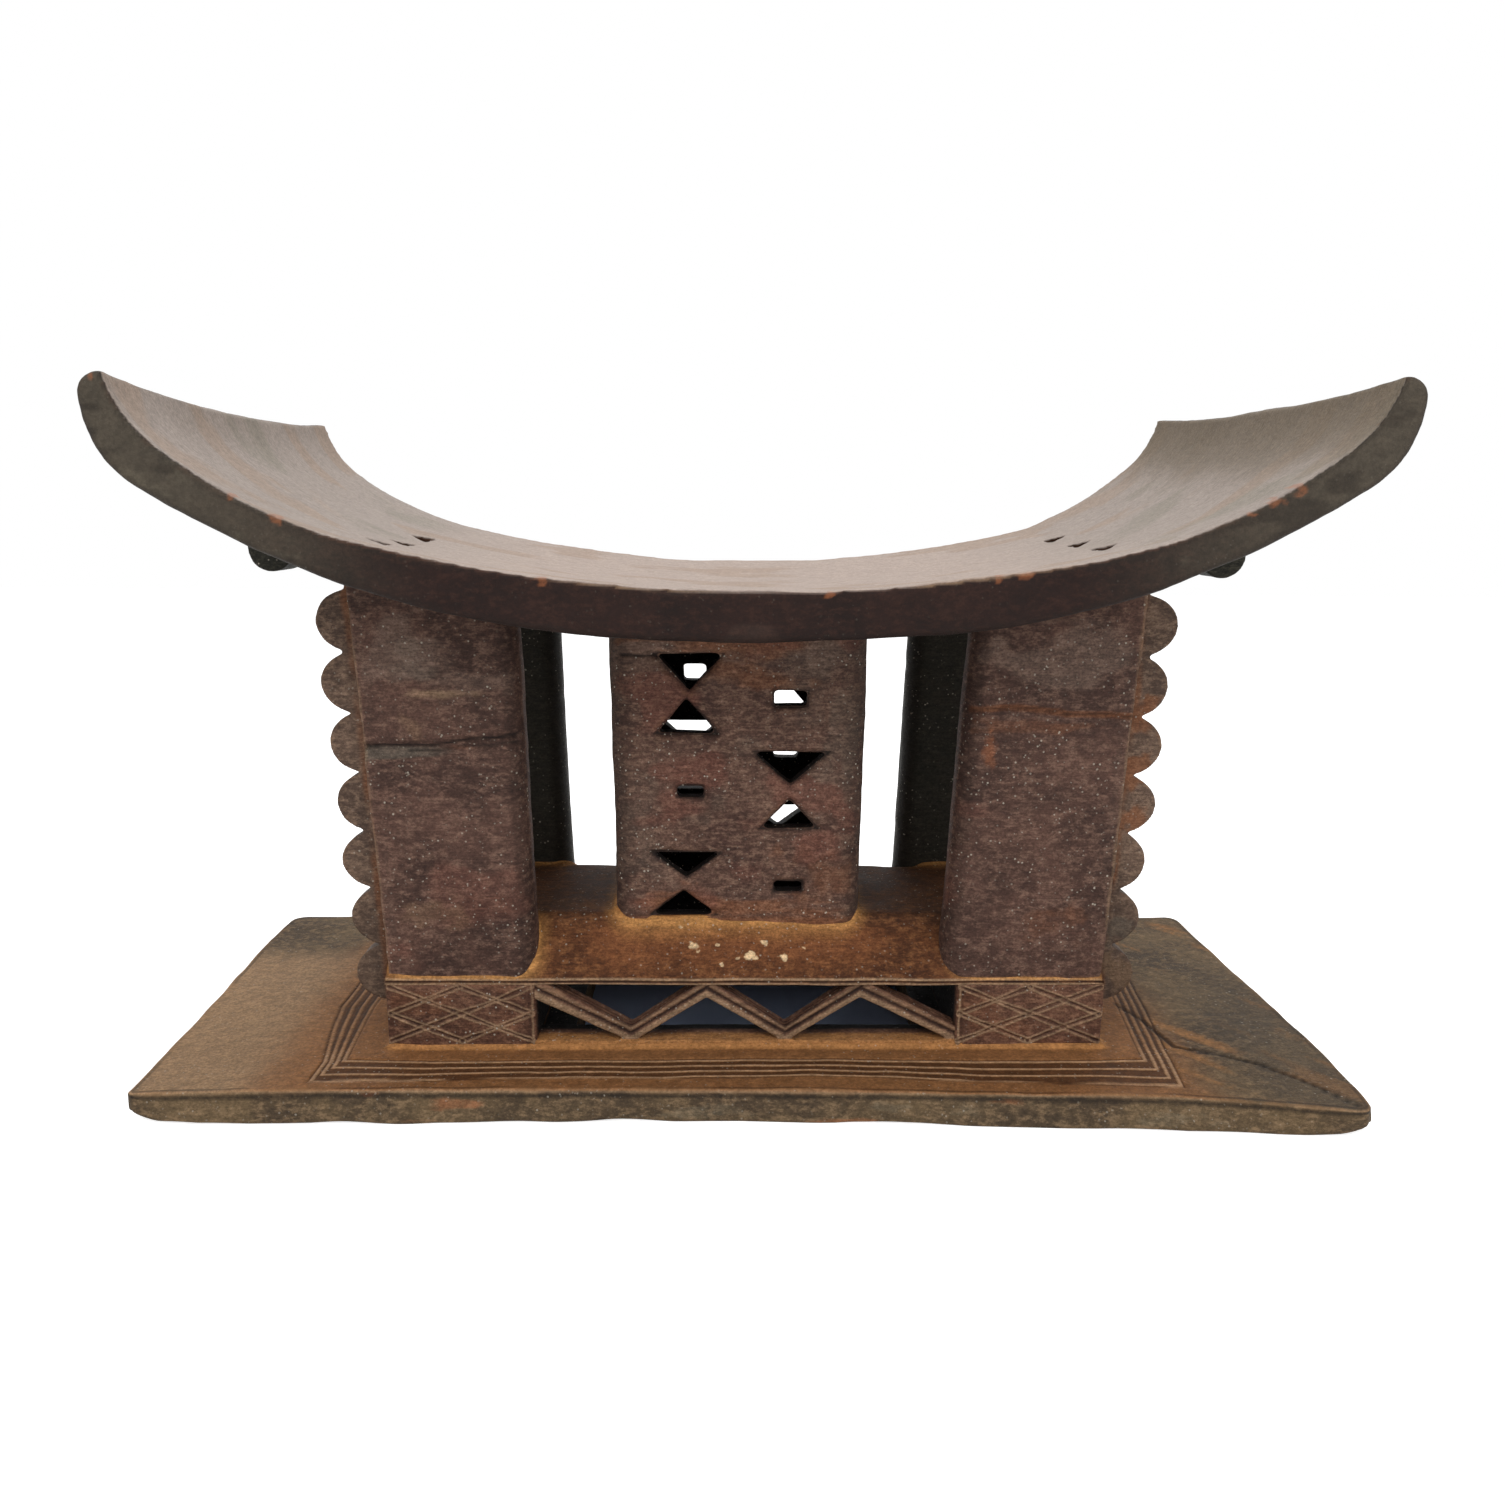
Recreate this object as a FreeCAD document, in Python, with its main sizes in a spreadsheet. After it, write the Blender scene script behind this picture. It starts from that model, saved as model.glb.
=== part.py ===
import FreeCAD, Part
import math
import os
import Sketcher

# Carved wooden stool: a base plate, a pierced plinth, a hollow pierced column, four corner slats
# with scalloped outer edges, and a curved seat. Millimetres, +Z up, floor at Z = 0, front towards -Y.
# The form repeats after half a turn about Z, so each back or left piece is its twin turned round.

doc = FreeCAD.newDocument("stool")
dims = doc.addObject("Spreadsheet::Sheet", "dims")

SIZES = (
    # base plate and the lines engraved round the plinth
    ("base_width", 540), ("base_depth", 227), ("base_thick", 13.3), ("base_corner", 8), ("base_arris", 3),
    ("ring_half_x", 188), ("ring_half_y", 77), ("ring_step_x", 3.6), ("ring_step_y", 6.6),
    ("groove_width", 1.8), ("groove_depth", 0.9),
    # plinth: solid ends, open fret between them, roof that slopes to the front and to the back
    ("plinth_half_x", 168), ("plinth_half_y", 63.2), ("end_width", 69.4),
    ("sill_height", 3.3), ("sill_depth", 18.6), ("fret_height", 27.2), ("rim_height", 3.3),
    ("roof_rise", 24.2), ("roof_half_y", 38.4), ("well_half_x", 84),
    ("fret_depth", 11), ("fret_setback", 0.6), ("fret_half_bar", 3.5), ("fret_bite", 1.2),
    ("hatch_gap", 2.2), ("hatch_cut", 0.9), ("hatch_depth", 0.8), ("hatch_margin", 1.5),
    # hollow column and its holes
    ("column_width", 117), ("column_depth", 86.4), ("column_wall", 10.5), ("column_corner", 9),
    ("column_shift", -5), ("hole_offset", 24.2), ("tri_half", 14.4), ("tri_rise", 13.6),
    ("slit_half", 6.8), ("slit_rise", 4.9),
    # corner slats, wider apart at the seat than at the foot, the back pair wider on the inside
    ("slat_foot_outer", 166.5), ("slat_head_outer", 174.9), ("slat_foot_inner", 98),
    ("slat_head_inner", 104), ("slat_back_extra", 8.5), ("slat_front", 61.5), ("slat_thick", 22.5),
    ("slat_corner", 9),
    # half-round lobes down the outer edge of each slat
    ("lobe_radius", 13.75), ("lobe_neck", 3.5), ("lobe_thick", 11), ("lobe_drop", 12.9),
    ("lobe_bow_share", 1.0001),
    # seat: three tangent arcs a side above and below, hollowed a little from front to back
    ("seat_depth", 242.6), ("seat_under", 211.3), ("seat_thick", 20.4), ("seat_dish", 5),
    ("top_radius_1", 695), ("top_radius_2", 180), ("top_radius_3", 50.5),
    ("under_radius_1", 833), ("under_radius_2", 356), ("under_radius_3", 38.4), ("rim_bow_share", 0.6),
    ("notch_x", 161.5), ("notch_pitch", 40), ("notch_shift", 15), ("notch_half", 6.8), ("notch_near", 5.5),
    ("notch_far", 5),
    # lug under each end of the seat
    ("lug_inset", 24.4), ("lug_radius", 11), ("lug_thick", 22), ("lug_low", 19.7),
    # how far a cut runs past what it cuts, and how far a blank runs into what trims it
    ("overrun", 6),
)

# Angles in degrees at which one arc of the seat's outline gives way to the next.
ANGLES = (
    ("top_turn_1", 12.47), ("top_turn_2", 38.8), ("top_turn_3", 75.4),
    ("under_turn_1", 5.04), ("under_turn_2", 32.6), ("under_turn_3", 90),
)

DERIVED = (
    ("sill_z", "base_thick + sill_height"),
    ("fret_top_z", "sill_z + fret_height"),
    ("eave_z", "fret_top_z + rim_height"),
    ("deck_z", "eave_z + roof_rise"),
    ("end_inner", "plinth_half_x - end_width"),
    ("well_half_y", "plinth_half_y - sill_depth"),
    ("slat_row", "slat_front - slat_thick / 2"),
    ("top_1_x", "top_radius_1 * sin(top_turn_1)"),
    ("top_1_z", "seat_under + seat_thick + top_radius_1 * (1 - cos(top_turn_1))"),
    ("top_2_x", "top_1_x + top_radius_2 * (sin(top_turn_2) - sin(top_turn_1))"),
    ("top_2_z", "top_1_z + top_radius_2 * (cos(top_turn_1) - cos(top_turn_2))"),
    ("top_3_x", "top_2_x + top_radius_3 * (sin(top_turn_3) - sin(top_turn_2))"),
    ("top_3_z", "top_2_z + top_radius_3 * (cos(top_turn_2) - cos(top_turn_3))"),
    ("under_1_x", "under_radius_1 * sin(under_turn_1)"),
    ("under_1_z", "seat_under + under_radius_1 * (1 - cos(under_turn_1))"),
    ("under_2_x", "under_1_x + under_radius_2 * (sin(under_turn_2) - sin(under_turn_1))"),
    ("under_2_z", "under_1_z + under_radius_2 * (cos(under_turn_1) - cos(under_turn_2))"),
    ("under_3_x", "under_2_x + under_radius_3 * (sin(under_turn_3) - sin(under_turn_2))"),
    ("under_3_z", "under_2_z + under_radius_3 * (cos(under_turn_2) - cos(under_turn_3))"),
    # centre of the middle arc of the underside, for the height of the seat above any slat
    ("under_centre_x", "under_1_x - under_radius_2 * sin(under_turn_1)"),
    ("under_centre_z", "under_1_z + under_radius_2 * cos(under_turn_1)"),
    # tops of the slats' and lugs' blanks, inside the thickness of the seat
    ("inner_reach", "slat_head_inner - under_centre_x"),
    ("outer_reach", "slat_head_outer - under_centre_x"),
    ("blank_inner_z", "under_centre_z - sqrt(under_radius_2^2 - inner_reach^2) + overrun"),
    ("blank_outer_z", "under_centre_z - sqrt(under_radius_2^2 - outer_reach^2) + overrun"),
    ("slat_lean", "(slat_head_outer - slat_foot_outer) / (seat_under - eave_z)"),
    ("slat_lean_inner", "(slat_head_inner - slat_foot_inner) / (seat_under - eave_z)"),
    ("lug_x", "under_3_x - lug_inset"),
    ("lug_reach", "lug_x - lug_radius - under_centre_x"),
    ("lug_inner_z", "under_centre_z - sqrt(under_radius_2^2 - lug_reach^2) + overrun"),
    ("lug_outer_z", "lug_inner_z + 2 * lug_radius * tan(under_turn_2)"),
)

RING_COUNT = 4
LOBE_COUNT = 7

# How near two places are to count as one, and how well a straight edge follows an axis.
NEAR = 1e-6
ALONG_SHARE = 0.99

# Corners of the zigzag between the two ends, as shares of half the opening.
TURN_SHARES = (-0.55, -0.19, 0.185, 0.54)

# Lines of the hatching across an end, from one edge point to another, as shares of its width and height.
HATCH_SHARES = (
    (0, 0, 1, 1), (0, 0.5, 0.5, 1), (0.5, 0, 1, 0.5),
    (0, 1, 1, 0), (0.5, 1, 1, 0.5), (0, 0.5, 0.5, 0),
)

# Holes of a column wall: kind, side of the middle, height as a share of the column's,
# width and rise as shares of the named hole sizes.
HOLE_SHARES = (
    ("down", -1, 0.898, 0.98, 1.08), ("up", -1, 0.645, 0.92, 1.02), ("slit", -1, 0.436, 0.93, 1.0),
    ("down", -1, 0.223, 1.12, 0.9), ("up", -1, 0.012, 0.95, 0.84),
    ("slit", 1, 0.755, 1.05, 1.14), ("down", 1, 0.566, 1.12, 1.02), ("up", 1, 0.314, 0.9, 0.95),
    ("slit", 1, 0.104, 0.98, 0.86),
)


def fill_sheet():
    """Writes every size into the sheet, one alias a row."""
    row = 1
    for alias, size in SIZES + ANGLES:
        dims.set(f"A{row}", alias)
        dims.set(f"B{row}", str(size))
        dims.setAlias(f"B{row}", alias)
        row += 1
    for alias, formula in DERIVED:
        for angle, _ in ANGLES:
            formula = formula.replace(f"({angle})", f"({angle} * 1deg)")
        dims.set(f"A{row}", alias)
        dims.set(f"B{row}", "=" + formula)
        dims.setAlias(f"B{row}", alias)
        row += 1
    doc.recompute()


def size(expression):
    """The number that an expression in the sheet's names gives."""
    found = dims.evalExpression(str(expression))
    return float(getattr(found, "Value", found))


def bound(expression):
    """The same expression with each of the sheet's names made readable from another object."""
    text = str(expression)
    names = sorted((alias for alias, _ in SIZES + ANGLES + DERIVED), key=len, reverse=True)
    marks = {}
    for index, alias in enumerate(names):
        if alias in text:
            mark = f"<{index}>"
            text = text.replace(alias, mark)
            marks[mark] = f"dims.{alias}"
    for mark, name in marks.items():
        text = text.replace(mark, name)
    return text


def new_body(name):
    return doc.addObject("PartDesign::Body", name)


def new_sketch(body, role, offset="0", turn=0.0):
    """An empty sketch on one of the body's own planes, moved along its normal and turned in it."""
    plane = next(item for item in body.Origin.OriginFeatures if item.Role == role)
    sketch = body.newObject("Sketcher::SketchObject", body.Name + "_sketch")
    sketch.AttachmentSupport = [(plane, "")]
    sketch.MapMode = "FlatFace"
    spin = FreeCAD.Rotation(FreeCAD.Vector(0, 0, 1), turn)
    sketch.AttachmentOffset = FreeCAD.Placement(FreeCAD.Vector(0, 0, size(offset)), spin)
    sketch.setExpression("AttachmentOffset.Base.z", bound(offset))
    return sketch


def arc_between(start, end, radius, side):
    """The arc of under a half circle from start to end; side is +1 where its centre is on the left."""
    chord = end - start
    reach = math.sqrt(radius ** 2 - (chord.Length / 2) ** 2)
    left = FreeCAD.Vector(-chord.y, chord.x, 0).normalize()
    centre = start + chord / 2 + left * (side * reach)
    first, last = (start, end) if side > 0 else (end, start)
    begin = math.atan2(first.y - centre.y, first.x - centre.x)
    finish = math.atan2(last.y - centre.y, last.x - centre.x)
    if finish < begin:
        finish += 2 * math.pi
    return Part.ArcOfCircle(Part.Circle(centre, FreeCAD.Vector(0, 0, 1), radius), begin, finish)


def add_outline(sketch, corners, bows=None):
    """A closed outline: corners are pairs of expressions, and bows gives an edge its radius and side."""
    bows = bows or {}
    points = [FreeCAD.Vector(size(x), size(y), 0) for x, y in corners]
    edges = []
    for index, start in enumerate(points):
        end = points[(index + 1) % len(points)]
        if index in bows:
            radius, side = bows[index]
            geometry = sketch.addGeometry(arc_between(start, end, size(radius), side), False)
            edges.append((geometry, 1, 2) if side > 0 else (geometry, 2, 1))
            rule = sketch.addConstraint(Sketcher.Constraint("Radius", geometry, size(radius)))
            sketch.setExpression(f"Constraints[{rule}]", bound(radius))
        else:
            edges.append((sketch.addGeometry(Part.LineSegment(start, end), False), 1, 2))
    for index, (geometry, first, last) in enumerate(edges):
        following, start_of_next, _ = edges[(index + 1) % len(edges)]
        sketch.addConstraint(Sketcher.Constraint("Coincident", geometry, last, following, start_of_next))
        for kind, expression in zip(("DistanceX", "DistanceY"), corners[index]):
            rule = sketch.addConstraint(
                Sketcher.Constraint(kind, -1, 1, geometry, first, size(expression)))
            sketch.setExpression(f"Constraints[{rule}]", bound(expression))


def add_box(sketch, half_x, half_y, centre_x="0"):
    low_x, high_x = f"{centre_x} - ({half_x})", f"{centre_x} + ({half_x})"
    low_y, high_y = f"-({half_y})", f"{half_y}"
    add_outline(sketch, ((low_x, low_y), (high_x, low_y), (high_x, high_y), (low_x, high_y)))


def pad(body, sketch, length, both_ways=False):
    feature = body.newObject("PartDesign::Pad", body.Name + "_pad")
    feature.Profile = sketch
    feature.Midplane = both_ways
    feature.Length = size(length)
    feature.setExpression("Length", bound(length))
    doc.recompute()
    return feature


def pocket(body, sketch, length, both_ways=False, upward=False):
    """A cut of the given depth, which has to take something away."""
    before = body.Shape.Volume
    feature = body.newObject("PartDesign::Pocket", body.Name + "_pocket")
    feature.Profile = sketch
    feature.Midplane = both_ways
    feature.Reversed = upward
    feature.Length = size(length)
    feature.setExpression("Length", bound(length))
    doc.recompute()
    if body.Shape.Volume >= before:
        raise RuntimeError(body.Name + ": a pocket cuts nothing")
    return feature


def round_edges(body, feature, radius, wanted):
    """A fillet on the edges of the feature that the test wants."""
    names = [f"Edge{n}" for n, edge in enumerate(feature.Shape.Edges, 1) if wanted(edge)]
    fillet = body.newObject("PartDesign::Fillet", body.Name + "_fillet")
    fillet.Base = (feature, names)
    fillet.Radius = size(radius)
    fillet.setExpression("Radius", bound(radius))
    doc.recompute()
    return fillet


def runs_along(edge, axis):
    """True for a straight edge that lies within a few degrees of the axis."""
    span = edge.lastVertex().Point - edge.firstVertex().Point
    return abs(span.dot(axis)) > ALONG_SHARE * span.Length


def place(body, half_turn=False, shift_x="0", shift_y="0", shift_z="0"):
    """Turns a body half round about Z, or not, and moves it."""
    spin = FreeCAD.Rotation(FreeCAD.Vector(0, 0, 1), 180 if half_turn else 0)
    offset = FreeCAD.Vector(size(shift_x), size(shift_y), size(shift_z))
    body.Placement = FreeCAD.Placement(offset, spin)
    for axis, shift in zip("xyz", (shift_x, shift_y, shift_z)):
        body.setExpression("Placement.Base." + axis, bound(shift))
    doc.recompute()
    return body


def trimmed(name, blank, *neighbours):
    """The blank cut to fit against each of its neighbours, so that they meet face to face."""
    result = blank
    for index, neighbour in enumerate(neighbours):
        cut = doc.addObject("Part::Cut", f"{name}_cut_{index}")
        cut.Base = result
        cut.Tool = neighbour
        result = cut
    doc.recompute()
    result.Label = name
    return result


X_AXIS = FreeCAD.Vector(1, 0, 0)
Y_AXIS = FreeCAD.Vector(0, 1, 0)
Z_AXIS = FreeCAD.Vector(0, 0, 1)


def make_base_plate():
    """Slab with softened edges, a well under the plinth, and lines engraved round the plinth."""
    body = new_body("base_plate")
    outline = new_sketch(body, "XY_Plane")
    add_box(outline, "base_width / 2", "base_depth / 2")
    slab = pad(body, outline, "base_thick")
    corners = round_edges(body, slab, "base_corner", lambda edge: runs_along(edge, Z_AXIS))
    top = size("base_thick")
    round_edges(body, corners, "base_arris", lambda edge: abs(edge.CenterOfMass.z - top) < NEAR)
    well = new_sketch(body, "XY_Plane", "base_thick + overrun")
    add_box(well, "well_half_x", "well_half_y")
    pocket(body, well, "base_thick + 2 * overrun")
    for ring in range(RING_COUNT):
        lines = new_sketch(body, "XY_Plane", "base_thick")
        half_x = f"ring_half_x + {ring} * ring_step_x"
        half_y = f"ring_half_y + {ring} * ring_step_y"
        add_box(lines, half_x, half_y)
        add_box(lines, half_x + " - groove_width", half_y + " - groove_width")
        pocket(body, lines, "groove_depth")
    return body


def make_deck():
    """Roof of the plinth: flat in the middle, sloped to both faces, open into the column."""
    body = new_body("plinth_deck")
    section = new_sketch(body, "YZ_Plane")
    add_outline(section, (
        ("-plinth_half_y", "fret_top_z"), ("plinth_half_y", "fret_top_z"), ("plinth_half_y", "eave_z"),
        ("roof_half_y", "deck_z"), ("-roof_half_y", "deck_z"), ("-plinth_half_y", "eave_z")))
    pad(body, section, "2 * plinth_half_x", both_ways=True)
    opening = new_sketch(body, "XY_Plane", "deck_z + overrun")
    add_box(opening, "column_width / 2 - column_wall", "column_depth / 2 - column_wall", "column_shift")
    pocket(body, opening, "deck_z - fret_top_z + 2 * overrun")
    return body


def hatch_cutter(name):
    """Thin bars on both faces of the right-hand end, two for each line of the hatching."""
    left = size("end_inner + hatch_margin")
    right = size("plinth_half_x - hatch_margin")
    low = size("sill_z")
    high = size("fret_top_z")
    depth = size("hatch_depth")
    face = size("plinth_half_y")
    corner = FreeCAD.Vector(left, -face - depth, low)
    window = Part.makeBox(right - left, 2 * (face + depth), high - low, corner)
    bars = []
    for x0, z0, x1, z1 in HATCH_SHARES:
        start = FreeCAD.Vector(left + x0 * (right - left), 0, low + z0 * (high - low))
        end = FreeCAD.Vector(left + x1 * (right - left), 0, low + z1 * (high - low))
        run = end - start
        tilt = math.degrees(math.atan2(run.z, run.x))
        for side in (-1, 1):
            for face_y in (-face - depth, face - depth):
                offset = side * size("hatch_gap") / 2 - size("hatch_cut") / 2
                reach = size("hatch_gap + overrun")
                bar = Part.makeBox(run.Length + 2 * reach, 2 * depth, size("hatch_cut"),
                                   FreeCAD.Vector(-reach, 0, offset))
                bar.rotate(FreeCAD.Vector(0, 0, 0), Y_AXIS, -tilt)
                bar.translate(start + Y_AXIS * face_y)
                bars.append(bar.common(window))
    cutter = doc.addObject("Part::Feature", name)
    cutter.Shape = bars[0].multiFuse(bars[1:])
    return cutter


def make_end(name, half_turn, cutter):
    """Solid end of the plinth, with hatching engraved on its front and back faces."""
    block = doc.addObject("Part::Box", name + "_block")
    lengths = (("Length", "end_width"), ("Width", "2 * plinth_half_y"), ("Height", "fret_top_z - base_thick"))
    for key, length in lengths:
        block.setExpression(key, bound(length))
    for axis, corner in zip("xyz", ("end_inner", "-plinth_half_y", "base_thick")):
        block.setExpression("Placement.Base." + axis, bound(corner))
    doc.recompute()
    engraved = doc.addObject("Part::Cut", name)
    engraved.Base = block
    engraved.Tool = cutter
    engraved.Label = name
    spin = FreeCAD.Rotation(Z_AXIS, 180 if half_turn else 0)
    engraved.Placement = FreeCAD.Placement(FreeCAD.Vector(0, 0, 0), spin)
    doc.recompute()
    return engraved


def make_fret(name, half_turn, deck):
    """Sill and zigzag bar that fill the opening between the two ends on one face of the plinth."""
    body = new_body(name + "_blank")
    sill = new_sketch(body, "XZ_Plane", "plinth_half_y - sill_depth / 2")
    add_outline(sill, (("-end_inner", "base_thick"), ("end_inner", "base_thick"),
                       ("end_inner", "sill_z"), ("-end_inner", "sill_z")))
    pad(body, sill, "sill_depth", both_ways=True)
    high = "(fret_top_z - fret_half_bar + fret_bite)"
    low = "(sill_z + fret_half_bar - fret_bite)"
    stations = ["-end_inner"] + [f"{share} * end_inner" for share in TURN_SHARES] + ["end_inner"]
    levels = [high, low, high, low, high, low]
    upper = [(x, level + " + fret_half_bar") for x, level in zip(stations, levels)]
    lower = [(x, level + " - fret_half_bar") for x, level in zip(stations, levels)]
    zigzag = new_sketch(body, "XZ_Plane", "plinth_half_y - fret_setback - fret_depth / 2")
    add_outline(zigzag, lower + upper[::-1])
    pad(body, zigzag, "fret_depth", both_ways=True)
    place(body, half_turn)
    return trimmed(name, body, deck)


def hole_outline(kind, side, height, width, rise):
    """Corners of one hole in a column wall, in the wall's own X and Z."""
    middle = f"{side} * hole_offset"
    base = f"deck_z + {height} * (seat_under - deck_z)"
    if kind == "slit":
        left, right = f"{middle} - {width} * slit_half", f"{middle} + {width} * slit_half"
        low, high = f"{base} - {rise} * slit_rise / 2", f"{base} + {rise} * slit_rise / 2"
        return (left, low), (right, low), (right, high), (left, high)
    left, right = f"{middle} - {width} * tri_half", f"{middle} + {width} * tri_half"
    sign = "+" if kind == "up" else "-"
    return (left, base), (right, base), (middle, f"{base} {sign} {rise} * tri_rise")


def make_face_wall(name, half_turn, deck, seat):
    """Front or back wall of the column, as wide as the column, pierced with small holes."""
    body = new_body(name + "_blank")
    middle = "column_depth / 2 - column_wall / 2"
    wall = new_sketch(body, "XZ_Plane", middle)
    left, right = "-column_width / 2", "column_width / 2"
    low, high = "eave_z", "seat_under + overrun"
    add_outline(wall, ((left, low), (right, low), (right, high), (left, high)))
    slab = pad(body, wall, "column_wall", both_ways=True)
    front = -size("column_depth") / 2
    round_edges(body, slab, "column_corner",
                lambda edge: runs_along(edge, Z_AXIS) and abs(edge.CenterOfMass.y - front) < NEAR)
    holes = new_sketch(body, "XZ_Plane", middle)
    for hole in HOLE_SHARES:
        add_outline(holes, hole_outline(*hole))
    pocket(body, holes, "column_wall + overrun", both_ways=True)
    place(body, half_turn, shift_x="column_shift")
    return trimmed(name, body, deck, seat)


def make_side_wall(name, side, deck, seat):
    """Wall of the column that joins the front wall to the back wall."""
    body = new_body(name + "_blank")
    plan = new_sketch(body, "XY_Plane", "eave_z")
    add_box(plan, "column_wall / 2", "column_depth / 2 - column_wall",
            f"{side} * (column_width / 2 - column_wall / 2)")
    pad(body, plan, "seat_under + overrun - eave_z")
    place(body, shift_x="column_shift")
    return trimmed(name, body, deck, seat)


def make_slat(name, half_turn, row, extra, deck, seat):
    """Corner slat that leans outwards, with rounded inner edges and any extra width on the inside."""
    body = new_body(name + "_blank")
    face = new_sketch(body, "XZ_Plane")
    add_outline(face, (
        (f"slat_foot_inner - {extra}", "eave_z"), ("slat_foot_outer", "eave_z"),
        ("slat_foot_outer + slat_lean * (blank_outer_z - eave_z)", "blank_outer_z"),
        (f"slat_foot_inner - {extra} + slat_lean_inner * (blank_inner_z - eave_z)", "blank_inner_z")))
    slab = pad(body, face, "slat_thick", both_ways=True)
    middle = size("slat_foot_inner + slat_foot_outer") / 2
    round_edges(body, slab, "slat_corner",
                lambda edge: runs_along(edge, Z_AXIS) and edge.CenterOfMass.x < middle)
    place(body, half_turn, shift_y=f"{row} * slat_row")
    return trimmed(name, body, deck, seat)


def make_lobes(name, half_turn, row, deck, end, seat):
    """Scalloped strip up the outer edge of a slat: seven half-round lobes on a narrow neck."""
    body = new_body(name + "_blank")
    lean = math.degrees(math.atan(size("slat_lean")))
    strip = new_sketch(body, "XZ_Plane", turn=-lean)
    head = "(blank_outer_z - eave_z + lobe_drop)"
    corners = [("0", "0")]
    corners += [("lobe_neck", f"{index} * 2 * lobe_radius") for index in range(LOBE_COUNT + 1)]
    corners += [("lobe_neck", head), ("0", head)]
    bows = {index: ("lobe_radius * lobe_bow_share", 1) for index in range(1, LOBE_COUNT + 1)}
    add_outline(strip, corners, bows)
    pad(body, strip, "lobe_thick", both_ways=True)
    sign = -1 if half_turn else 1
    place(body, half_turn, shift_x=f"{sign} * (slat_foot_outer - slat_lean * lobe_drop)",
          shift_y=f"{row} * slat_row", shift_z="eave_z - lobe_drop")
    return trimmed(name, body, deck, end, seat)


def seat_section(body, offset, dish):
    """Outline of the seat across its width, its upper side lowered by the dish."""
    sketch = new_sketch(body, "XZ_Plane", offset)
    under = (("under_3_x", "under_3_z"), ("under_2_x", "under_2_z"), ("under_1_x", "under_1_z"))
    top = (("top_1_x", "top_1_z"), ("top_2_x", "top_2_z"), ("top_3_x", "top_3_z"))
    corners = [("-" + x, z) for x, z in under]
    corners += [(x, z) for x, z in under[::-1]]
    corners += [(x, f"{z} - {dish}") for x, z in top[::-1]]
    corners += [("-" + x, f"{z} - {dish}") for x, z in top]
    rim = f"rim_bow_share * sqrt((under_3_x - top_3_x)^2 + (top_3_z - {dish} - under_3_z)^2)"
    radii = ("under_radius_3", "under_radius_2", "under_radius_1", "under_radius_2", "under_radius_3", rim,
             "top_radius_3", "top_radius_2", "top_radius_1", "top_radius_2", "top_radius_3", rim)
    bows = {index: (radius, -1 if radius.startswith("top") else 1) for index, radius in enumerate(radii)}
    add_outline(sketch, corners, bows)
    return sketch


def make_seat():
    """Curved seat, lofted through its two faces and its slightly hollower middle, with six notches."""
    body = new_body("seat")
    front = seat_section(body, "seat_depth / 2", "0")
    middle = seat_section(body, "0", "seat_dish")
    back = seat_section(body, "-seat_depth / 2", "0")
    doc.recompute()
    loft = body.newObject("PartDesign::AdditiveLoft", "seat_loft")
    loft.Profile = front
    loft.Sections = [middle, back]
    doc.recompute()
    notches = new_sketch(body, "XY_Plane", "top_3_z + overrun")
    for side in (-1, 1):
        for place_index in (-1, 0, 1):
            x = f"{side} * notch_x"
            y = f"{place_index} * notch_pitch + {side} * notch_shift"
            add_outline(notches, ((x, y + " - notch_near"), (x + " + notch_half", y + " + notch_far"),
                                  (x + " - notch_half", y + " + notch_far")))
    pocket(body, notches, "top_3_z - seat_under + 2 * overrun")
    return body


def make_lug(name, half_turn, seat):
    """Tongue with a round tip that hangs under one end of the seat."""
    body = new_body(name + "_blank")
    face = new_sketch(body, "XZ_Plane")
    left, right = "lug_x - lug_radius", "lug_x + lug_radius"
    shoulder = "seat_under + lug_low + lug_radius"
    corners = ((left, shoulder), ("lug_x", "seat_under + lug_low"), (right, shoulder),
               (right, "lug_outer_z"), (left, "lug_inner_z"))
    add_outline(face, corners, {0: ("lug_radius", 1), 1: ("lug_radius", 1)})
    pad(body, face, "lug_thick", both_ways=True)
    place(body, half_turn)
    return trimmed(name, body, seat)


def check(objects):
    """Stops if anything failed to compute or came out as anything but closed, valid solids."""
    for item in doc.Objects:
        if "Invalid" in item.State or "Error" in item.State:
            raise RuntimeError(f"{item.Name} failed: {item.State}")
    for item in objects:
        shape = item.Shape
        if shape.isNull() or not shape.isValid() or len(shape.Solids) != 1:
            raise RuntimeError(f"{item.Label}: not one valid solid ({len(shape.Solids)})")


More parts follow.
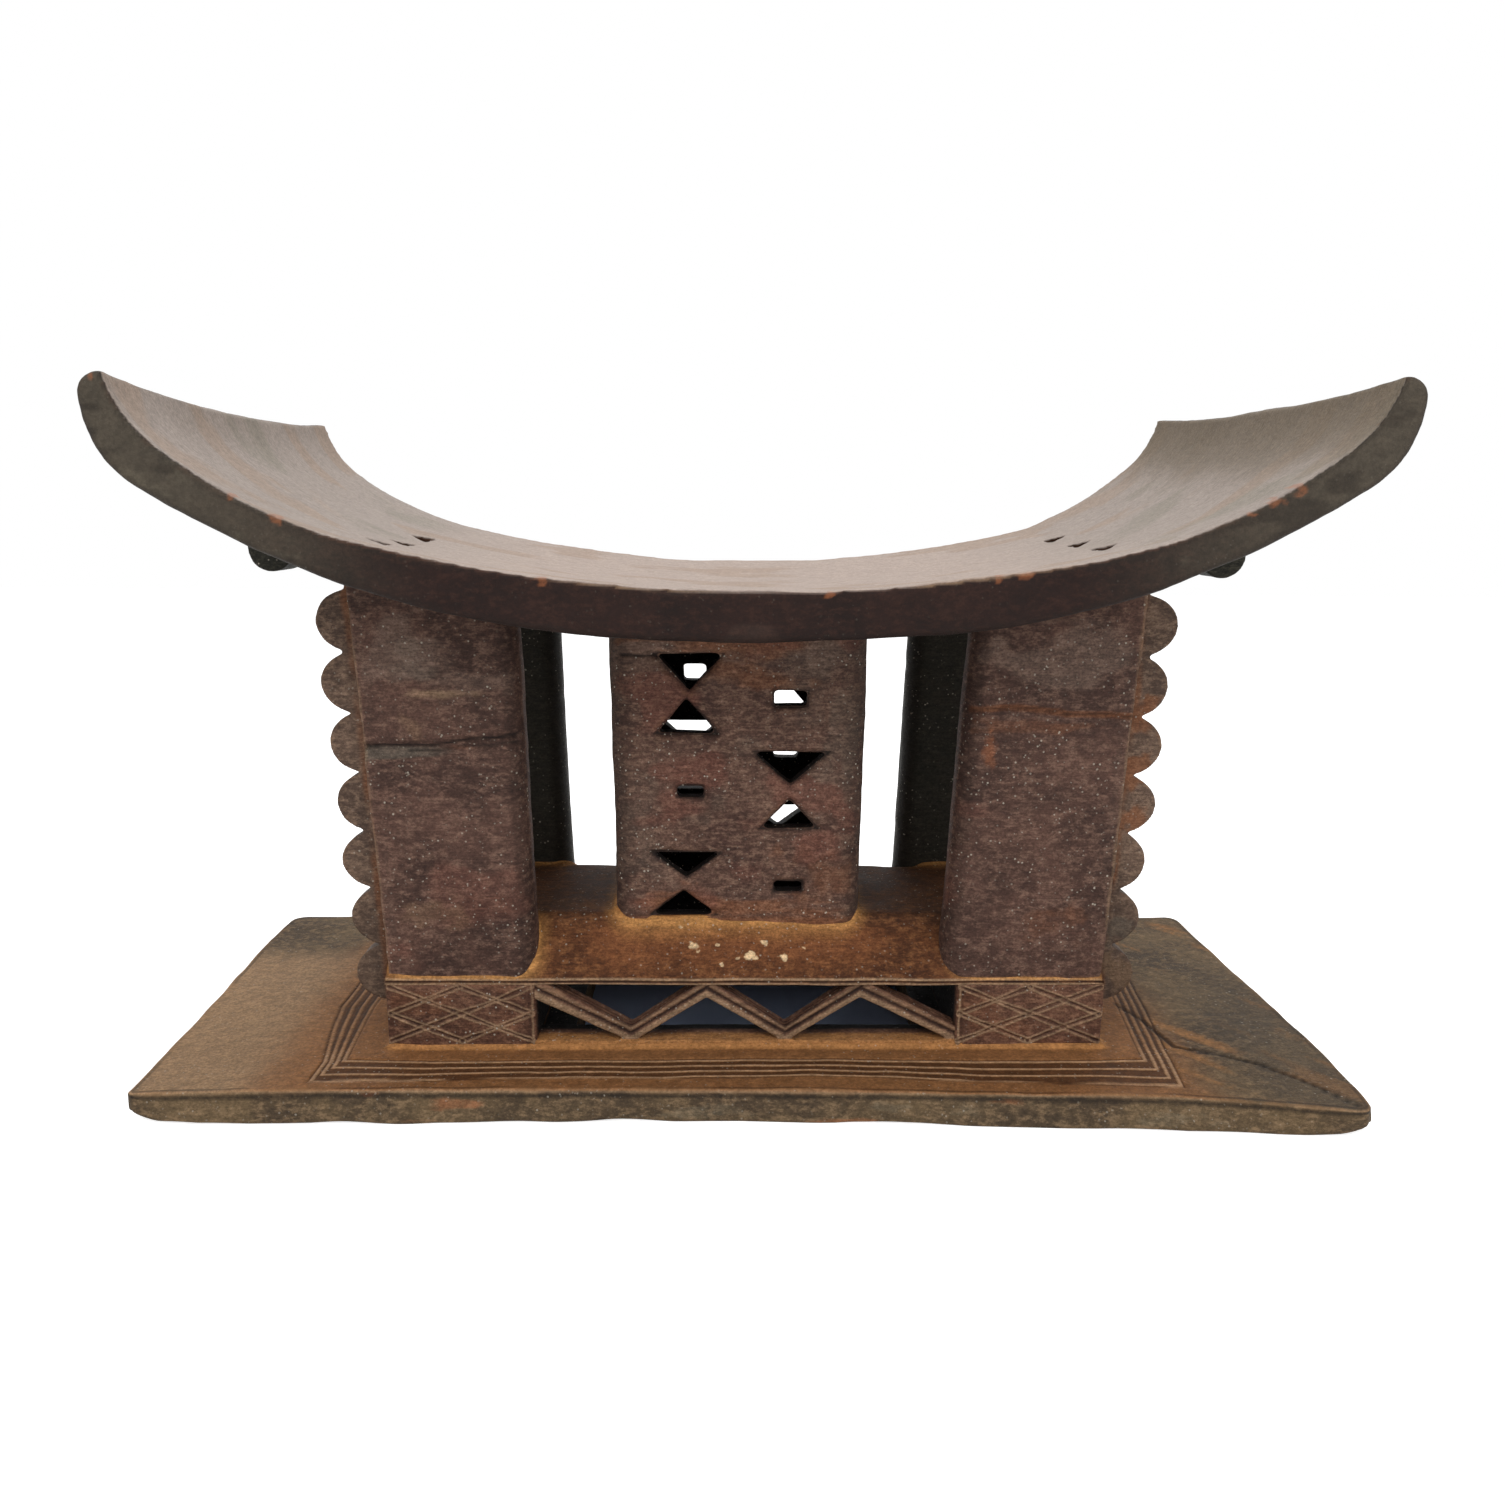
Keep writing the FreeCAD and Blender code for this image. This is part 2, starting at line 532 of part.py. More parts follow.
def main():
    fill_sheet()
    base = make_base_plate()
    deck = make_deck()
    seat = make_seat()
    hatching = hatch_cutter("hatching")
    pieces = [base, deck, seat]
    ends = {}
    for side, half_turn in (("right", False), ("left", True)):
        ends[side] = make_end("plinth_end_" + side, half_turn, hatching)
        pieces.append(ends[side])
        pieces.append(make_lug("seat_lug_" + side, half_turn, seat))
    for face, half_turn in (("front", False), ("back", True)):
        pieces.append(make_fret("fret_" + face, half_turn, deck))
        pieces.append(make_face_wall(f"column_{face}_wall", half_turn, deck, seat))
    for side, sign in (("right", 1), ("left", -1)):
        pieces.append(make_side_wall(f"column_{side}_wall", sign, deck, seat))
    for face, row, extra in (("front", -1, "0"), ("back", 1, "slat_back_extra")):
        for side, half_turn in (("right", False), ("left", True)):
            pieces.append(make_slat(f"slat_{face}_{side}", half_turn, row, extra, deck, seat))
            pieces.append(make_lobes(f"lobes_{face}_{side}", half_turn, row, deck, ends[side], seat))
    doc.recompute()
    check(pieces)
    os.makedirs("parts", exist_ok=True)
    for piece in pieces:
        box = piece.Shape.BoundBox
        print(f"{piece.Label}: {piece.Shape.Volume / 1000:.1f} cm3, X {box.XMin:.1f} to {box.XMax:.1f},"
              f" Y {box.YMin:.1f} to {box.YMax:.1f}, Z {box.ZMin:.1f} to {box.ZMax:.1f}")
        piece.Shape.exportStep(f"parts/{piece.Label}.step")


main()
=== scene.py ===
import functools
import itertools
import math

import bmesh
import bpy
import numpy as np
from mathutils import Matrix, Vector


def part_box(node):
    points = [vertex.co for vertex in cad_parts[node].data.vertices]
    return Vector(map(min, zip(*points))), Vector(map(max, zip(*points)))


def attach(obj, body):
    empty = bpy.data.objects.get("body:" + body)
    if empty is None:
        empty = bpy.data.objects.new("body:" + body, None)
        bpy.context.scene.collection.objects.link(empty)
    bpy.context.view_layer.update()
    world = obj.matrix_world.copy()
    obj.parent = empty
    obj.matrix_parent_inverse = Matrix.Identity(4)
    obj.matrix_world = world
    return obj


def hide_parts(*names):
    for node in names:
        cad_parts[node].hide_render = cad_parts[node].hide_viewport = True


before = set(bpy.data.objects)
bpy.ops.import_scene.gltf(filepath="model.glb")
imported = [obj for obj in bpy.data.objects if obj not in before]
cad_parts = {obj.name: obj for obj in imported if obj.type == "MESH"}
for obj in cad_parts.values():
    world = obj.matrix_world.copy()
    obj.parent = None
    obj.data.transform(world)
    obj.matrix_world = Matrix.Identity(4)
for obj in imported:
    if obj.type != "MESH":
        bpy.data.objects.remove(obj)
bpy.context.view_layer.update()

# A worn, dark stained wooden stool, carved from one block. Shapes are worked out in millimetres.
# Each piece starts as a dense copy of its solid, or as a fine grid where lines are engraved in it,
# and is then worn, cut and marked point by point.
MM = 0.001

# Places and sizes shared with the solids, in millimetres.
RING_HALF_X = 188.0
RING_HALF_Y = 77.0
RING_STEP_X = 3.6
RING_STEP_Y = 6.6
RING_COUNT = 4
WELL_HALF_X = 84.0
WELL_HALF_Y = 44.6
HATCH_GAP = 2.2
HATCH_MARGIN = 1.5
HATCH_SHARES = (
    (0, 0, 1, 1), (0, 0.5, 0.5, 1), (0.5, 0, 1, 0.5),
    (0, 1, 1, 0), (0.5, 1, 1, 0.5), (0, 0.5, 0.5, 0),
)
TURN_SHARES = (-1, -0.55, -0.19, 0.185, 0.54, 1)
FRET_BITE = 1.2
FRET_HALF_BAR = 3.5


def node_box(node):
    """Lowest and highest corner of a solid, in millimetres."""
    low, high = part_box(node)
    return np.array(low) / MM, np.array(high) / MM


BASE_HIGH = node_box("base_plate")[1]
END_LOW, END_HIGH = node_box("plinth_end_right")
DECK_LOW, DECK_HIGH = node_box("plinth_deck")
SEAT_HIGH = node_box("seat")[1]
COLUMN_LOW = node_box("column_left_wall")[0]
COLUMN_HIGH = node_box("column_right_wall")[1]
COLUMN_HALF_Y = node_box("column_back_wall")[1][1]
BASE_TOP = BASE_HIGH[2]


def hashed(cells, seed):
    """A number from -1 to 1 for each whole-number cell, always the same for the same cell."""
    x, y, z = (cells[:, axis] for axis in range(3))
    mixed = (x * 73856093) ^ (y * 19349663) ^ (z * 83492791) ^ (seed * 668265263)
    mixed &= 0xFFFFFFFF
    mixed = ((mixed ^ (mixed >> 15)) * 2246822519) & 0xFFFFFFFF
    mixed = ((mixed ^ (mixed >> 13)) * 3266489917) & 0xFFFFFFFF
    return (mixed ^ (mixed >> 16)) / 0x7FFFFFFF - 1.0


def noise(points, size, seed=0):
    """Smooth noise from -1 to 1; size is how far apart its bumps are, one length or one for each axis."""
    spot = points / np.asarray(size, float)
    cell = np.floor(spot)
    part = spot - cell
    ease = part ** 3 * (part * (part * 6 - 15) + 10)
    cell = cell.astype(np.int64)
    total = np.zeros(len(points))
    for corner in itertools.product((0, 1), repeat=3):
        weight = np.prod(np.where(corner, ease, 1 - ease), axis=1)
        total += weight * hashed(cell + np.array(corner), seed)
    return total


def rough_noise(points, size, seed=0, octaves=3):
    """Noise with finer and fainter noise on it."""
    size = np.asarray(size, float)
    layers = (noise(points, size / 2 ** step, seed + step) / 2 ** step for step in range(octaves))
    return sum(layers)


def ramp(values, low, high):
    """0 below low, 1 above high, and a smooth rise between."""
    share = np.clip((values - low) / (high - low), 0, 1)
    return share * share * (3 - 2 * share)


def fade(values, low, high):
    """1 below low, 0 above high, and a smooth fall between."""
    return ramp(-values, -high, -low)


def groove(distance, half_width):
    """Depth, from 0 to 1, of a rounded groove at a distance from its middle."""
    return np.clip(1 - (distance / half_width) ** 2, 0, 1)


def from_line(x, y, points):
    """Distance of each place to a line through the given points."""
    points = np.array(points, float)
    nearest = np.full(len(x), np.inf)
    for start, run in zip(points, points[1:] - points[:-1]):
        share = np.clip(((x - start[0]) * run[0] + (y - start[1]) * run[1]) / np.hypot(*run) ** 2, 0, 1)
        away = np.hypot(x - start[0] - share * run[0], y - start[1] - share * run[1])
        nearest = np.minimum(nearest, away)
    return nearest


def outside(x, y, box, corner=0.0):
    """How far each place is outside a box of low x, high x, low y, high y, maybe with round corners."""
    low_x, high_x, low_y, high_y = box
    over_x = np.maximum(np.maximum(low_x + corner - x, x - high_x + corner), 0)
    over_y = np.maximum(np.maximum(low_y + corner - y, y - high_y + corner), 0)
    return np.hypot(over_x, over_y) - corner


def rounded(points, middle, half, radius):
    """Points of a box with its edges and corners rounded."""
    offset = points - middle
    core = np.clip(offset, radius - half, half - radius)
    past = (offset - core) / radius
    longest = np.abs(past).max(axis=1, keepdims=True)
    length = np.linalg.norm(past, axis=1, keepdims=True)
    return middle + core + past * radius * longest / np.maximum(length, 1e-9)


class Skin:
    """The points of a dense mesh, in millimetres, and the marks that its material reads."""

    def __init__(self, piece, spacing):
        self.piece = piece
        self.spacing = spacing
        mesh = piece.data
        self.at = np.empty(len(mesh.vertices) * 3)
        mesh.vertices.foreach_get("co", self.at)
        self.at = self.at.reshape(-1, 3) / MM
        self.edges = np.empty(len(mesh.edges) * 2, np.int32)
        mesh.edges.foreach_get("vertices", self.edges)
        self.edges = self.edges.reshape(-1, 2)
        self.degree = np.maximum(np.bincount(self.edges.ravel(), minlength=len(self.at)), 1)
        self.marks = {}

    def around(self, values):
        """Mean of each point's neighbours."""
        first, second = self.edges.T
        count = len(self.at)
        total = np.bincount(first, values[second], count) + np.bincount(second, values[first], count)
        return total / self.degree

    def relax(self, times, share=0.5):
        """Smooths the surface; share is one number or one for each point."""
        share = np.broadcast_to(share, len(self.at))[:, None]
        for _ in range(times):
            mean = np.stack([self.around(column) for column in self.at.T], axis=1)
            self.at += (mean - self.at) * share

    def write(self):
        mesh = self.piece.data
        mesh.vertices.foreach_set("co", (self.at * MM).ravel())
        mesh.update()

    def facing(self):
        """Outward direction at each point."""
        self.write()
        normals = np.empty(len(self.at) * 3, np.float32)
        self.piece.data.vertex_normals.foreach_get("vector", normals)
        return normals.reshape(-1, 3).astype(float)

    def push(self, amount):
        """Moves each point outwards by its own amount."""
        self.at += self.facing() * np.asarray(amount)[:, None]

    def mark(self, name, values):
        """Adds a mark from 0 to 1, on top of the one that is there."""
        values = np.clip(values, 0, 1)
        before = self.marks.get(name, np.zeros(len(self.at)))
        self.marks[name] = np.maximum(before, values)

    def patches(self, size, seed, low, high, octaves=1):
        """1 in the patches of a noise and 0 between them."""
        return ramp(rough_noise(self.at, size, seed, octaves), low, high)

    def spot(self, name, place, size, amount=1.0):
        """Marks a ragged spot of the given half sizes round a place."""
        away = np.linalg.norm((self.at - place) / size, axis=1)
        ragged = away + 0.5 * rough_noise(self.at, np.array(size) * 0.5 + 1.0, 7)
        self.mark(name, amount * fade(ragged, 0.4, 1.2))

    def stain(self, depth, rows):
        """Marks spots on a face, each a mark, its place in X and Z, its half sizes and its strength."""
        for name, across, height, *size, amount in rows:
            self.spot(name, (across, depth, height), size, amount)

    def mark_edges(self):
        """Marks what sticks out as worn, and darkens what lies in a corner with dirt and painted shade.
        """
        facing = self.facing()
        mean = np.stack([self.around(column) for column in self.at.T], axis=1)
        bulge = np.einsum("ij,ij->i", self.at - mean, facing) / self.spacing
        for _ in range(2):
            bulge = (bulge + self.around(bulge)) / 2
        self.mark("wear", ramp(bulge, 0.04, 0.2))
        self.mark("dirt_and_shade", fade(bulge, -0.15, -0.03))

    def done(self, material, slot):
        """Writes the points and marks, and hands the piece over in place of its solid."""
        self.write()
        mesh = self.piece.data
        for name, values in self.marks.items():
            layer = mesh.attributes.new(name, "FLOAT", "POINT")
            layer.data.foreach_set("value", values.astype(np.float32))
        mesh.polygons.foreach_set("use_smooth", [True] * len(mesh.polygons))
        mesh.materials.clear()
        mesh.materials.append(material)
        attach(self.piece, "root")
        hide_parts(self.piece["node"])


def new_piece(node, mesh):
    piece = bpy.data.objects.new(node + "_wood", mesh)
    piece["node"] = node
    bpy.context.scene.collection.objects.link(piece)
    return piece


def dense_copy(node, voxel, reach=None, finer=None):
    """A copy of a solid in small even faces.

    reach first moves its corners, and finer tells which points need smaller faces.
    """
    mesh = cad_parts[node].data.copy()
    work = bmesh.new()
    work.from_mesh(mesh)
    bmesh.ops.remove_doubles(work, verts=work.verts, dist=1e-6)
    if reach:
        for vertex in work.verts:
            vertex.co = Vector(reach(*(vertex.co / MM))) * MM
    work.to_mesh(mesh)
    work.free()
    piece = new_piece(node, mesh)
    modifier = piece.modifiers.new("voxels", "REMESH")
    modifier.mode = "VOXEL"
    modifier.voxel_size = voxel * MM
    graph = bpy.context.evaluated_depsgraph_get()
    finished = bpy.data.meshes.new_from_object(piece.evaluated_get(graph))
    piece.modifiers.clear()
    piece.data = finished
    if finer:
        work = bmesh.new()
        work.from_mesh(finished)
        places = np.array([vertex.co for vertex in work.verts]) / MM
        chosen = finer(*places.T)
        edges = [edge for edge in work.edges if all(chosen[vertex.index] for vertex in edge.verts)]
        bmesh.ops.subdivide_edges(work, edges=edges, cuts=2, use_grid_fill=True)
        work.to_mesh(finished)
        work.free()
    return Skin(piece, voxel)


# Typical distance between the points of a grid block where lines are engraved.
FINE_GRID = 0.8


def lines_between(low, high, coarse, fine, spots):
    """Places of grid lines: a coarse step, and a fine one within each spot's (middle, half width)."""
    places = [low]
    while places[-1] < high:
        here = places[-1]
        near = any(abs(here - middle) <= half for middle, half in spots)
        ahead = [middle - half for middle, half in spots if middle - half > here + fine]
        step = fine if near else min([coarse] + [start - here for start in ahead])
        places.append(here + step)
    places[-1] = high
    return np.array(places)


def grid_block(node, xs, ys, zs, hole=None):
    """A box of small faces along the given lines; hole is half the size in plan of a well through it."""
    corners = []
    faces = []

    def patch(first, second, third, at_end, axes, keep=None):
        u, v = np.meshgrid(first, second, indexing="ij")
        points = np.empty(u.shape + (3,))
        points[..., axes[0]] = u
        points[..., axes[1]] = v
        points[..., axes[2]] = third[-1] if at_end else third[0]
        start = sum(len(c) for c in corners)
        index = start + np.arange(u.size).reshape(u.shape)
        quads = np.stack([index[:-1, :-1], index[1:, :-1], index[1:, 1:], index[:-1, 1:]], axis=-1)
        if keep is not None:
            quads = quads[keep]
        quads = quads.reshape(-1, 4)
        corners.append(points.reshape(-1, 3))
        faces.append(quads if at_end else quads[:, ::-1])

    keep = None
    if hole:
        mid_x = np.abs(xs[:-1] + xs[1:])[:, None] / 2
        mid_y = np.abs(ys[:-1] + ys[1:])[None, :] / 2
        keep = (mid_x > hole[0]) | (mid_y > hole[1])
        inner_x = xs[np.abs(xs) <= hole[0] + 1e-6]
        inner_y = ys[np.abs(ys) <= hole[1] + 1e-6]
        for at_end in (False, True):
            patch(zs, inner_x, inner_y, at_end, (2, 0, 1))
            faces[-1] = faces[-1][:, ::-1]
            patch(inner_y, zs, inner_x, at_end, (1, 2, 0))
            faces[-1] = faces[-1][:, ::-1]
    for at_end in (False, True):
        patch(xs, ys, zs, at_end, (0, 1, 2), keep)
        patch(ys, zs, xs, at_end, (1, 2, 0))
        patch(zs, xs, ys, at_end, (2, 0, 1))
    points = np.concatenate(corners)
    _, first, inverse = np.unique(np.round(points, 4), axis=0, return_index=True, return_inverse=True)
    used, quads = np.unique(inverse.ravel()[np.concatenate(faces)], return_inverse=True)
    mesh = bpy.data.meshes.new(node)
    mesh.from_pydata((points[first[used]] * MM).tolist(), [], quads.reshape(-1, 4).tolist())
    mesh.update()
    return Skin(new_piece(node, mesh), FINE_GRID)


def srgb(colour):
    """A colour picked as it looks on screen, 0 to 255, as the linear colour that shaders take."""
    shares = [value / 255 for value in colour]
    linear = [share / 12.92 if share <= 0.04045 else ((share + 0.055) / 1.055) ** 2.4 for share in shares]
    return linear + [1.0]


def add_node(tree, kind, inputs=None, **settings):
    """A node with its settings and its inputs, each a value or another node's output."""
    node = tree.nodes.new(kind)
    for key, value in settings.items():
        setattr(node, key, value)
    for key, value in (inputs or {}).items():
        if isinstance(value, bpy.types.NodeSocket):
            tree.links.new(value, node.inputs[key])
        else:
            node.inputs[key].default_value = value
    return node


# The colour sockets of a mix node.
MIX_FIRST = 6
MIX_SECOND = 7
MIX_RESULT = 2


class Paint:
    """A material whose nodes are made one by one."""

    def __init__(self, name):
        self.material = bpy.data.materials.new(name)
        self.material.use_nodes = True
        self.tree = self.material.node_tree
        self.tree.nodes.clear()
        self.place = self.add("ShaderNodeTexCoord").outputs["Object"]

    def add(self, kind, inputs=None, **settings):
        return add_node(self.tree, kind, inputs, **settings)

    def stretched(self, sizes, shift=0.0):
        """Coordinates for a pattern with bumps of these sizes, in millimetres, along X, Y and Z."""
        scale = [1 / (size * MM) for size in sizes]
        inputs = {"Vector": self.place, "Scale": scale, "Location": [shift] * 3}
        return self.add("ShaderNodeMapping", inputs).outputs["Vector"]

    def noise(self, sizes, detail=4.0, roughness=0.55, shift=0.0, twist=0.0):
        inputs = {"Vector": self.stretched(sizes, shift), "Scale": 1.0, "Detail": detail,
                  "Roughness": roughness, "Distortion": twist}
        return self.add("ShaderNodeTexNoise", inputs).outputs["Fac"]

    def dots(self, size, radius, shift=0.0):
        """1 in small scattered round spots and 0 elsewhere."""
        inputs = {"Vector": self.stretched((size,) * 3, shift), "Scale": 1.0}
        distance = self.add("ShaderNodeTexVoronoi", inputs).outputs["Distance"]
        return self.span(distance, radius, radius * 0.6)

    def span(self, value, low, high):
        """0 at low, 1 at high and a smooth change between; low may be the larger one."""
        inputs = {"Value": value, "From Min": min(low, high), "From Max": max(low, high),
                  "To Min": float(low > high), "To Max": float(low < high)}
        return self.add("ShaderNodeMapRange", inputs, interpolation_type="SMOOTHSTEP").outputs["Result"]

    def mark(self, name):
        return self.add("ShaderNodeAttribute", attribute_name=name).outputs["Fac"]

    def product(self, first, second):
        return self.add("ShaderNodeMath", {0: first, 1: second}, operation="MULTIPLY").outputs[0]

    def total(self, first, second):
        return self.add("ShaderNodeMath", {0: first, 1: second}, operation="ADD").outputs[0]

    def mix(self, share, first, second, blend="MIX"):
        inputs = {"Factor": share, MIX_FIRST: first, MIX_SECOND: second}
        return self.add("ShaderNodeMix", inputs, data_type="RGBA", blend_type=blend).outputs[MIX_RESULT]

    def height(self, *layers):
        """The sum of layers, each a value and its height in millimetres, as a bump."""
        parts = [self.product(value, rise) for value, rise in layers]
        inputs = {"Distance": MM, "Height": functools.reduce(self.total, parts)}
        return self.add("ShaderNodeBump", inputs).outputs["Normal"]

    def finish(self, colour, roughness, normal, specular=0.15):
        inputs = {"Base Color": colour, "Roughness": roughness, "Normal": normal,
                  "Specular IOR Level": specular}
        shader = self.add("ShaderNodeBsdfPrincipled", inputs)
        self.add("ShaderNodeOutputMaterial", {"Surface": shader.outputs["BSDF"]})
        return self.material


# Dark brown for dirt and for painted shade in corners and under things.
DIRT_AND_SHADE = (26, 19, 16)
BLACK = (13, 9, 8)
DUST = (190, 180, 164)


def wood(name, tones, tints, worn, dust=0.8, contrast=0.34,
         grain=(9, 2.0, 0.8), flecks=(1.3, 1.2, 1.0), shift=0.0):
    """Dark stained, dusty wood in three tones with its grain, worn at its edges, tinted where marked.

    Each tint is the name of a mark, its colour, its strength, and how ragged it is in millimetres or 0.
    """
    paint = Paint(name)
    dark, middle, light = (srgb(tone) for tone in tones)
    blotch = paint.noise((38, 38, 30), 5, 0.6, shift, 0.4)
    mottle = paint.noise((5, 4, 2.6), 6, 0.7, shift + 3)
    fleck = paint.noise(flecks, 5, 0.75, shift + 5)
    streak = paint.noise(grain, 5, 0.6, shift + 7, 0.3)
    colour = paint.mix(paint.span(blotch, 0.36, 0.64), dark, middle)
    colour = paint.mix(paint.product(paint.span(mottle, 0.44, 0.66), 0.6), colour, light)
    for mark, tint, strength, ragged in tints:
        amount = paint.mark(mark)
        if ragged:
            frayed = paint.total(amount, paint.noise((ragged,) * 3, 5, 0.65, shift + 11))
            amount = paint.product(paint.span(frayed, 0.62, 1.35), amount)
        colour = paint.mix(paint.product(amount, strength), colour, srgb(tint))
    for pattern, share in ((mottle, 0.5), (fleck, 1.0), (streak, 0.45)):
        low = [1 - contrast * share] * 3 + [1]
        high = [1 + contrast * share] * 3 + [1]
        colour = paint.mix(1.0, colour, paint.mix(paint.span(pattern, 0.34, 0.66), low, high), "MULTIPLY")
    broken = paint.span(paint.noise((14, 14, 8), 4, 0.6, shift + 17), 0.46, 0.6)
    colour = paint.mix(paint.product(paint.product(paint.mark("wear"), broken), 0.7), colour, srgb(worn))
    # Dirt and painted shade where marked.
    colour = paint.mix(paint.product(paint.mark("dirt_and_shade"), 0.6), colour, srgb(DIRT_AND_SHADE))
    colour = paint.mix(paint.mark("dark"), colour, srgb(BLACK))
    clusters = paint.span(paint.noise((26, 26, 26), 3, 0.6, shift + 23), 0.36, 0.62)
    bright = paint.span(paint.noise((1.9, 1.9, 1.9), 1, 0.5, shift + 29), 0.46, 0.66)
    specks = paint.product(paint.dots(2.3, 0.26, shift), paint.product(clusters, bright))
    colour = paint.mix(paint.product(specks, dust), colour, srgb(DUST))
    roughness = paint.add("ShaderNodeMapRange", {"Value": mottle, "To Min": 0.5, "To Max": 0.8})
    normal = paint.height((streak, 0.25), (fleck, 0.4), (mottle, 0.5), (specks, 0.2))
    return paint.finish(colour, roughness.outputs["Result"], normal)


def carve(skin, wobble, seed):
    """Softens a dense copy, and makes its faces and edges uneven as a knife leaves them."""
    skin.relax(1)
    skin.push(wobble * rough_noise(skin.at, (42, 42, 42), seed, 2)
              + 0.16 * rough_noise(skin.at, (13, 10, 6), seed + 9, 2))
    skin.mark_edges()


# Plan of the base plate as it was cut: its depth in front of the middle along the top and the bottom
# of its front edge, at places from left to right, and how far its back corners reach.
BASE_TOP_FRONT = ((-268, 107.8), (-235, 106.3), (-192, 104.2), (-5, 105.2), (152, 109.5), (186, 110.8),
                  (219, 115.5), (248, 121.2), (264, 124.2))
BASE_LOW_FRONT = ((-262, 108.5), (-239, 111), (-130, 110), (-5, 107.8), (109, 113.5), (195, 118.5),
                  (255, 122))
BASE_BACK = 117.5
BASE_LEFT = ((-112, 270.0), (-95, 270.2), (-55, 271.3), (0, 273.1), (45, 275.9), (76, 277.6), (113, 277))
BASE_RIGHT_TOP = ((-122, 265.0), (-110, 267.3), (-96, 269.8), (-56, 270.8), (113, 268.8))
BASE_RIGHT_LOW = ((-122, 268.5), (-100, 270.5), (-60, 270.8), (113, 268.8))
# Beyond these distances from the middle the plate follows that plan.
SKEW_FROM_X = 206.0
SKEW_FROM_Y = 64.0
BASE_LAYERS = 18
BASE_ROUNDING = 1.3
# Radii of its corners in plan, left and right in front, and how the underside lifts at them.
FRONT_CORNERS = (3.5, 5.5)
BACK_CORNERS = 8.0
CORNER_LIFT = 9.0
CORNER_LIFT_REACH = 16
# Warm brown ground round the plinth, and the ground under it, painted dark as shade, as low x, high x,
# low y, high y.
WARM_ZONE = (-195, 180, -130, 60)
UNDER_PLINTH = (-99, 99, -53, 53)
# Chips and pale patches on its front edge: place and half sizes.
BASE_CHIPS = (
    ((-166, -105, 12), (7, 4, 1.6)), ((-128, -106, 8), (14, 5, 3)), ((112, -112, 10), (14, 5, 2)),
    ((-150, -106, 1), (16, 5, 1.5)), ((40, -110, 1), (18, 5, 1.5)),
)
BASE_PATCHES = (
    ((-20, -108, 5), (22, 6, 3.5)), ((93, -113, 6), (9, 6, 3.5)), ((60, -110, 7), (12, 6, 3)),
    ((180, -116, 4), (30, 6, 4)),
)
BASE_CRACK = ((190, -15), (197, -30), (202, -62), (216, -69), (236, -80), (254, -104), (262, -119))


def stretched_to(values, start, limit, reach):
    """Places beyond start, up to limit, spread out so that limit comes to reach."""
    size = np.abs(values)
    past = np.maximum(size - start, 0)
    return np.sign(values) * (np.minimum(size, start) + past * (reach - start) / (limit - start))


def skewed_base(at):
    """Moves the outer part of an even plate to the plan that was cut."""
    x, y, z = at.T
    share = np.clip(z / BASE_TOP, 0, 1)
    top = np.interp(x, *zip(*BASE_TOP_FRONT))
    low = np.interp(x, *zip(*BASE_LOW_FRONT))
    reach_y = np.where(y < 0, low + (top - low) * share, BASE_BACK)
    right_top = np.interp(y, *zip(*BASE_RIGHT_TOP))
    right_low = np.interp(y, *zip(*BASE_RIGHT_LOW))
    reach_x = np.where(x < 0, np.interp(y, *zip(*BASE_LEFT)), right_low + (right_top - right_low) * share)
    new_x = stretched_to(x, SKEW_FROM_X, BASE_HIGH[0], reach_x)
    new_y = stretched_to(y, SKEW_FROM_Y, BASE_HIGH[1], reach_y)
    return np.column_stack([new_x, new_y, z])


def ring_distance(x, y, ring, wander):
    """Distance from one of the lines cut round the plinth, which spread towards the plate's ends."""
    share = np.clip(x / RING_HALF_X, -1, 1)
    spread = 0.74 + 0.26 * share ** 2 + 0.14 * np.maximum(share, 0) ** 2
    past = np.clip(y + RING_HALF_Y, 0, 60)
    slant = np.where(x > 0, 0.13 * (y + RING_HALF_Y) - 4.5, 0.08 * past - 2.0)
    step_x = RING_STEP_X * np.where(x > 0, 1, 0.78 + 0.0095 * past)
    half_x = RING_HALF_X + slant + ring * step_x + 0.4 * wander
    half_y = RING_HALF_Y + ring * RING_STEP_Y * np.where(y < 0, spread, 1) + wander
    return np.maximum(np.abs(x) - half_x, np.abs(y) - half_y)


def grid_lines(half, fine, spots):
    """Lines across the plate, fine at these spots on both sides of the middle."""
    both = [(side * middle, reach) for side in (-1, 1) for middle, reach in spots]
    return lines_between(-half, half, 3.0, fine, sorted(both))


def base_grid():
    """Even plate in small faces, with its well."""
    width, depth = BASE_HIGH[0], BASE_HIGH[1]
    band_x = (RING_HALF_X + RING_STEP_X * (RING_COUNT - 1) / 2, RING_STEP_X * RING_COUNT / 2 + 9)
    band_y = (RING_HALF_Y + RING_STEP_Y * (RING_COUNT - 1) / 2, RING_STEP_Y * RING_COUNT / 2 + 2)
    xs = grid_lines(width, 0.55, (band_x, (width, 4), (END_HIGH[0], 3), (WELL_HALF_X, 0.3)))
    ys = grid_lines(depth, 0.5, (band_y, (depth, 4), (END_HIGH[1], 3), (WELL_HALF_Y, 0.3)))
    for lines, half in ((xs, WELL_HALF_X), (ys, WELL_HALF_Y)):
        for side in (-half, half):
            lines[np.abs(lines - side).argmin()] = side
    zs = np.linspace(0, BASE_TOP, BASE_LAYERS)
    return grid_block("base_plate", xs, ys, zs, (WELL_HALF_X, WELL_HALF_Y))


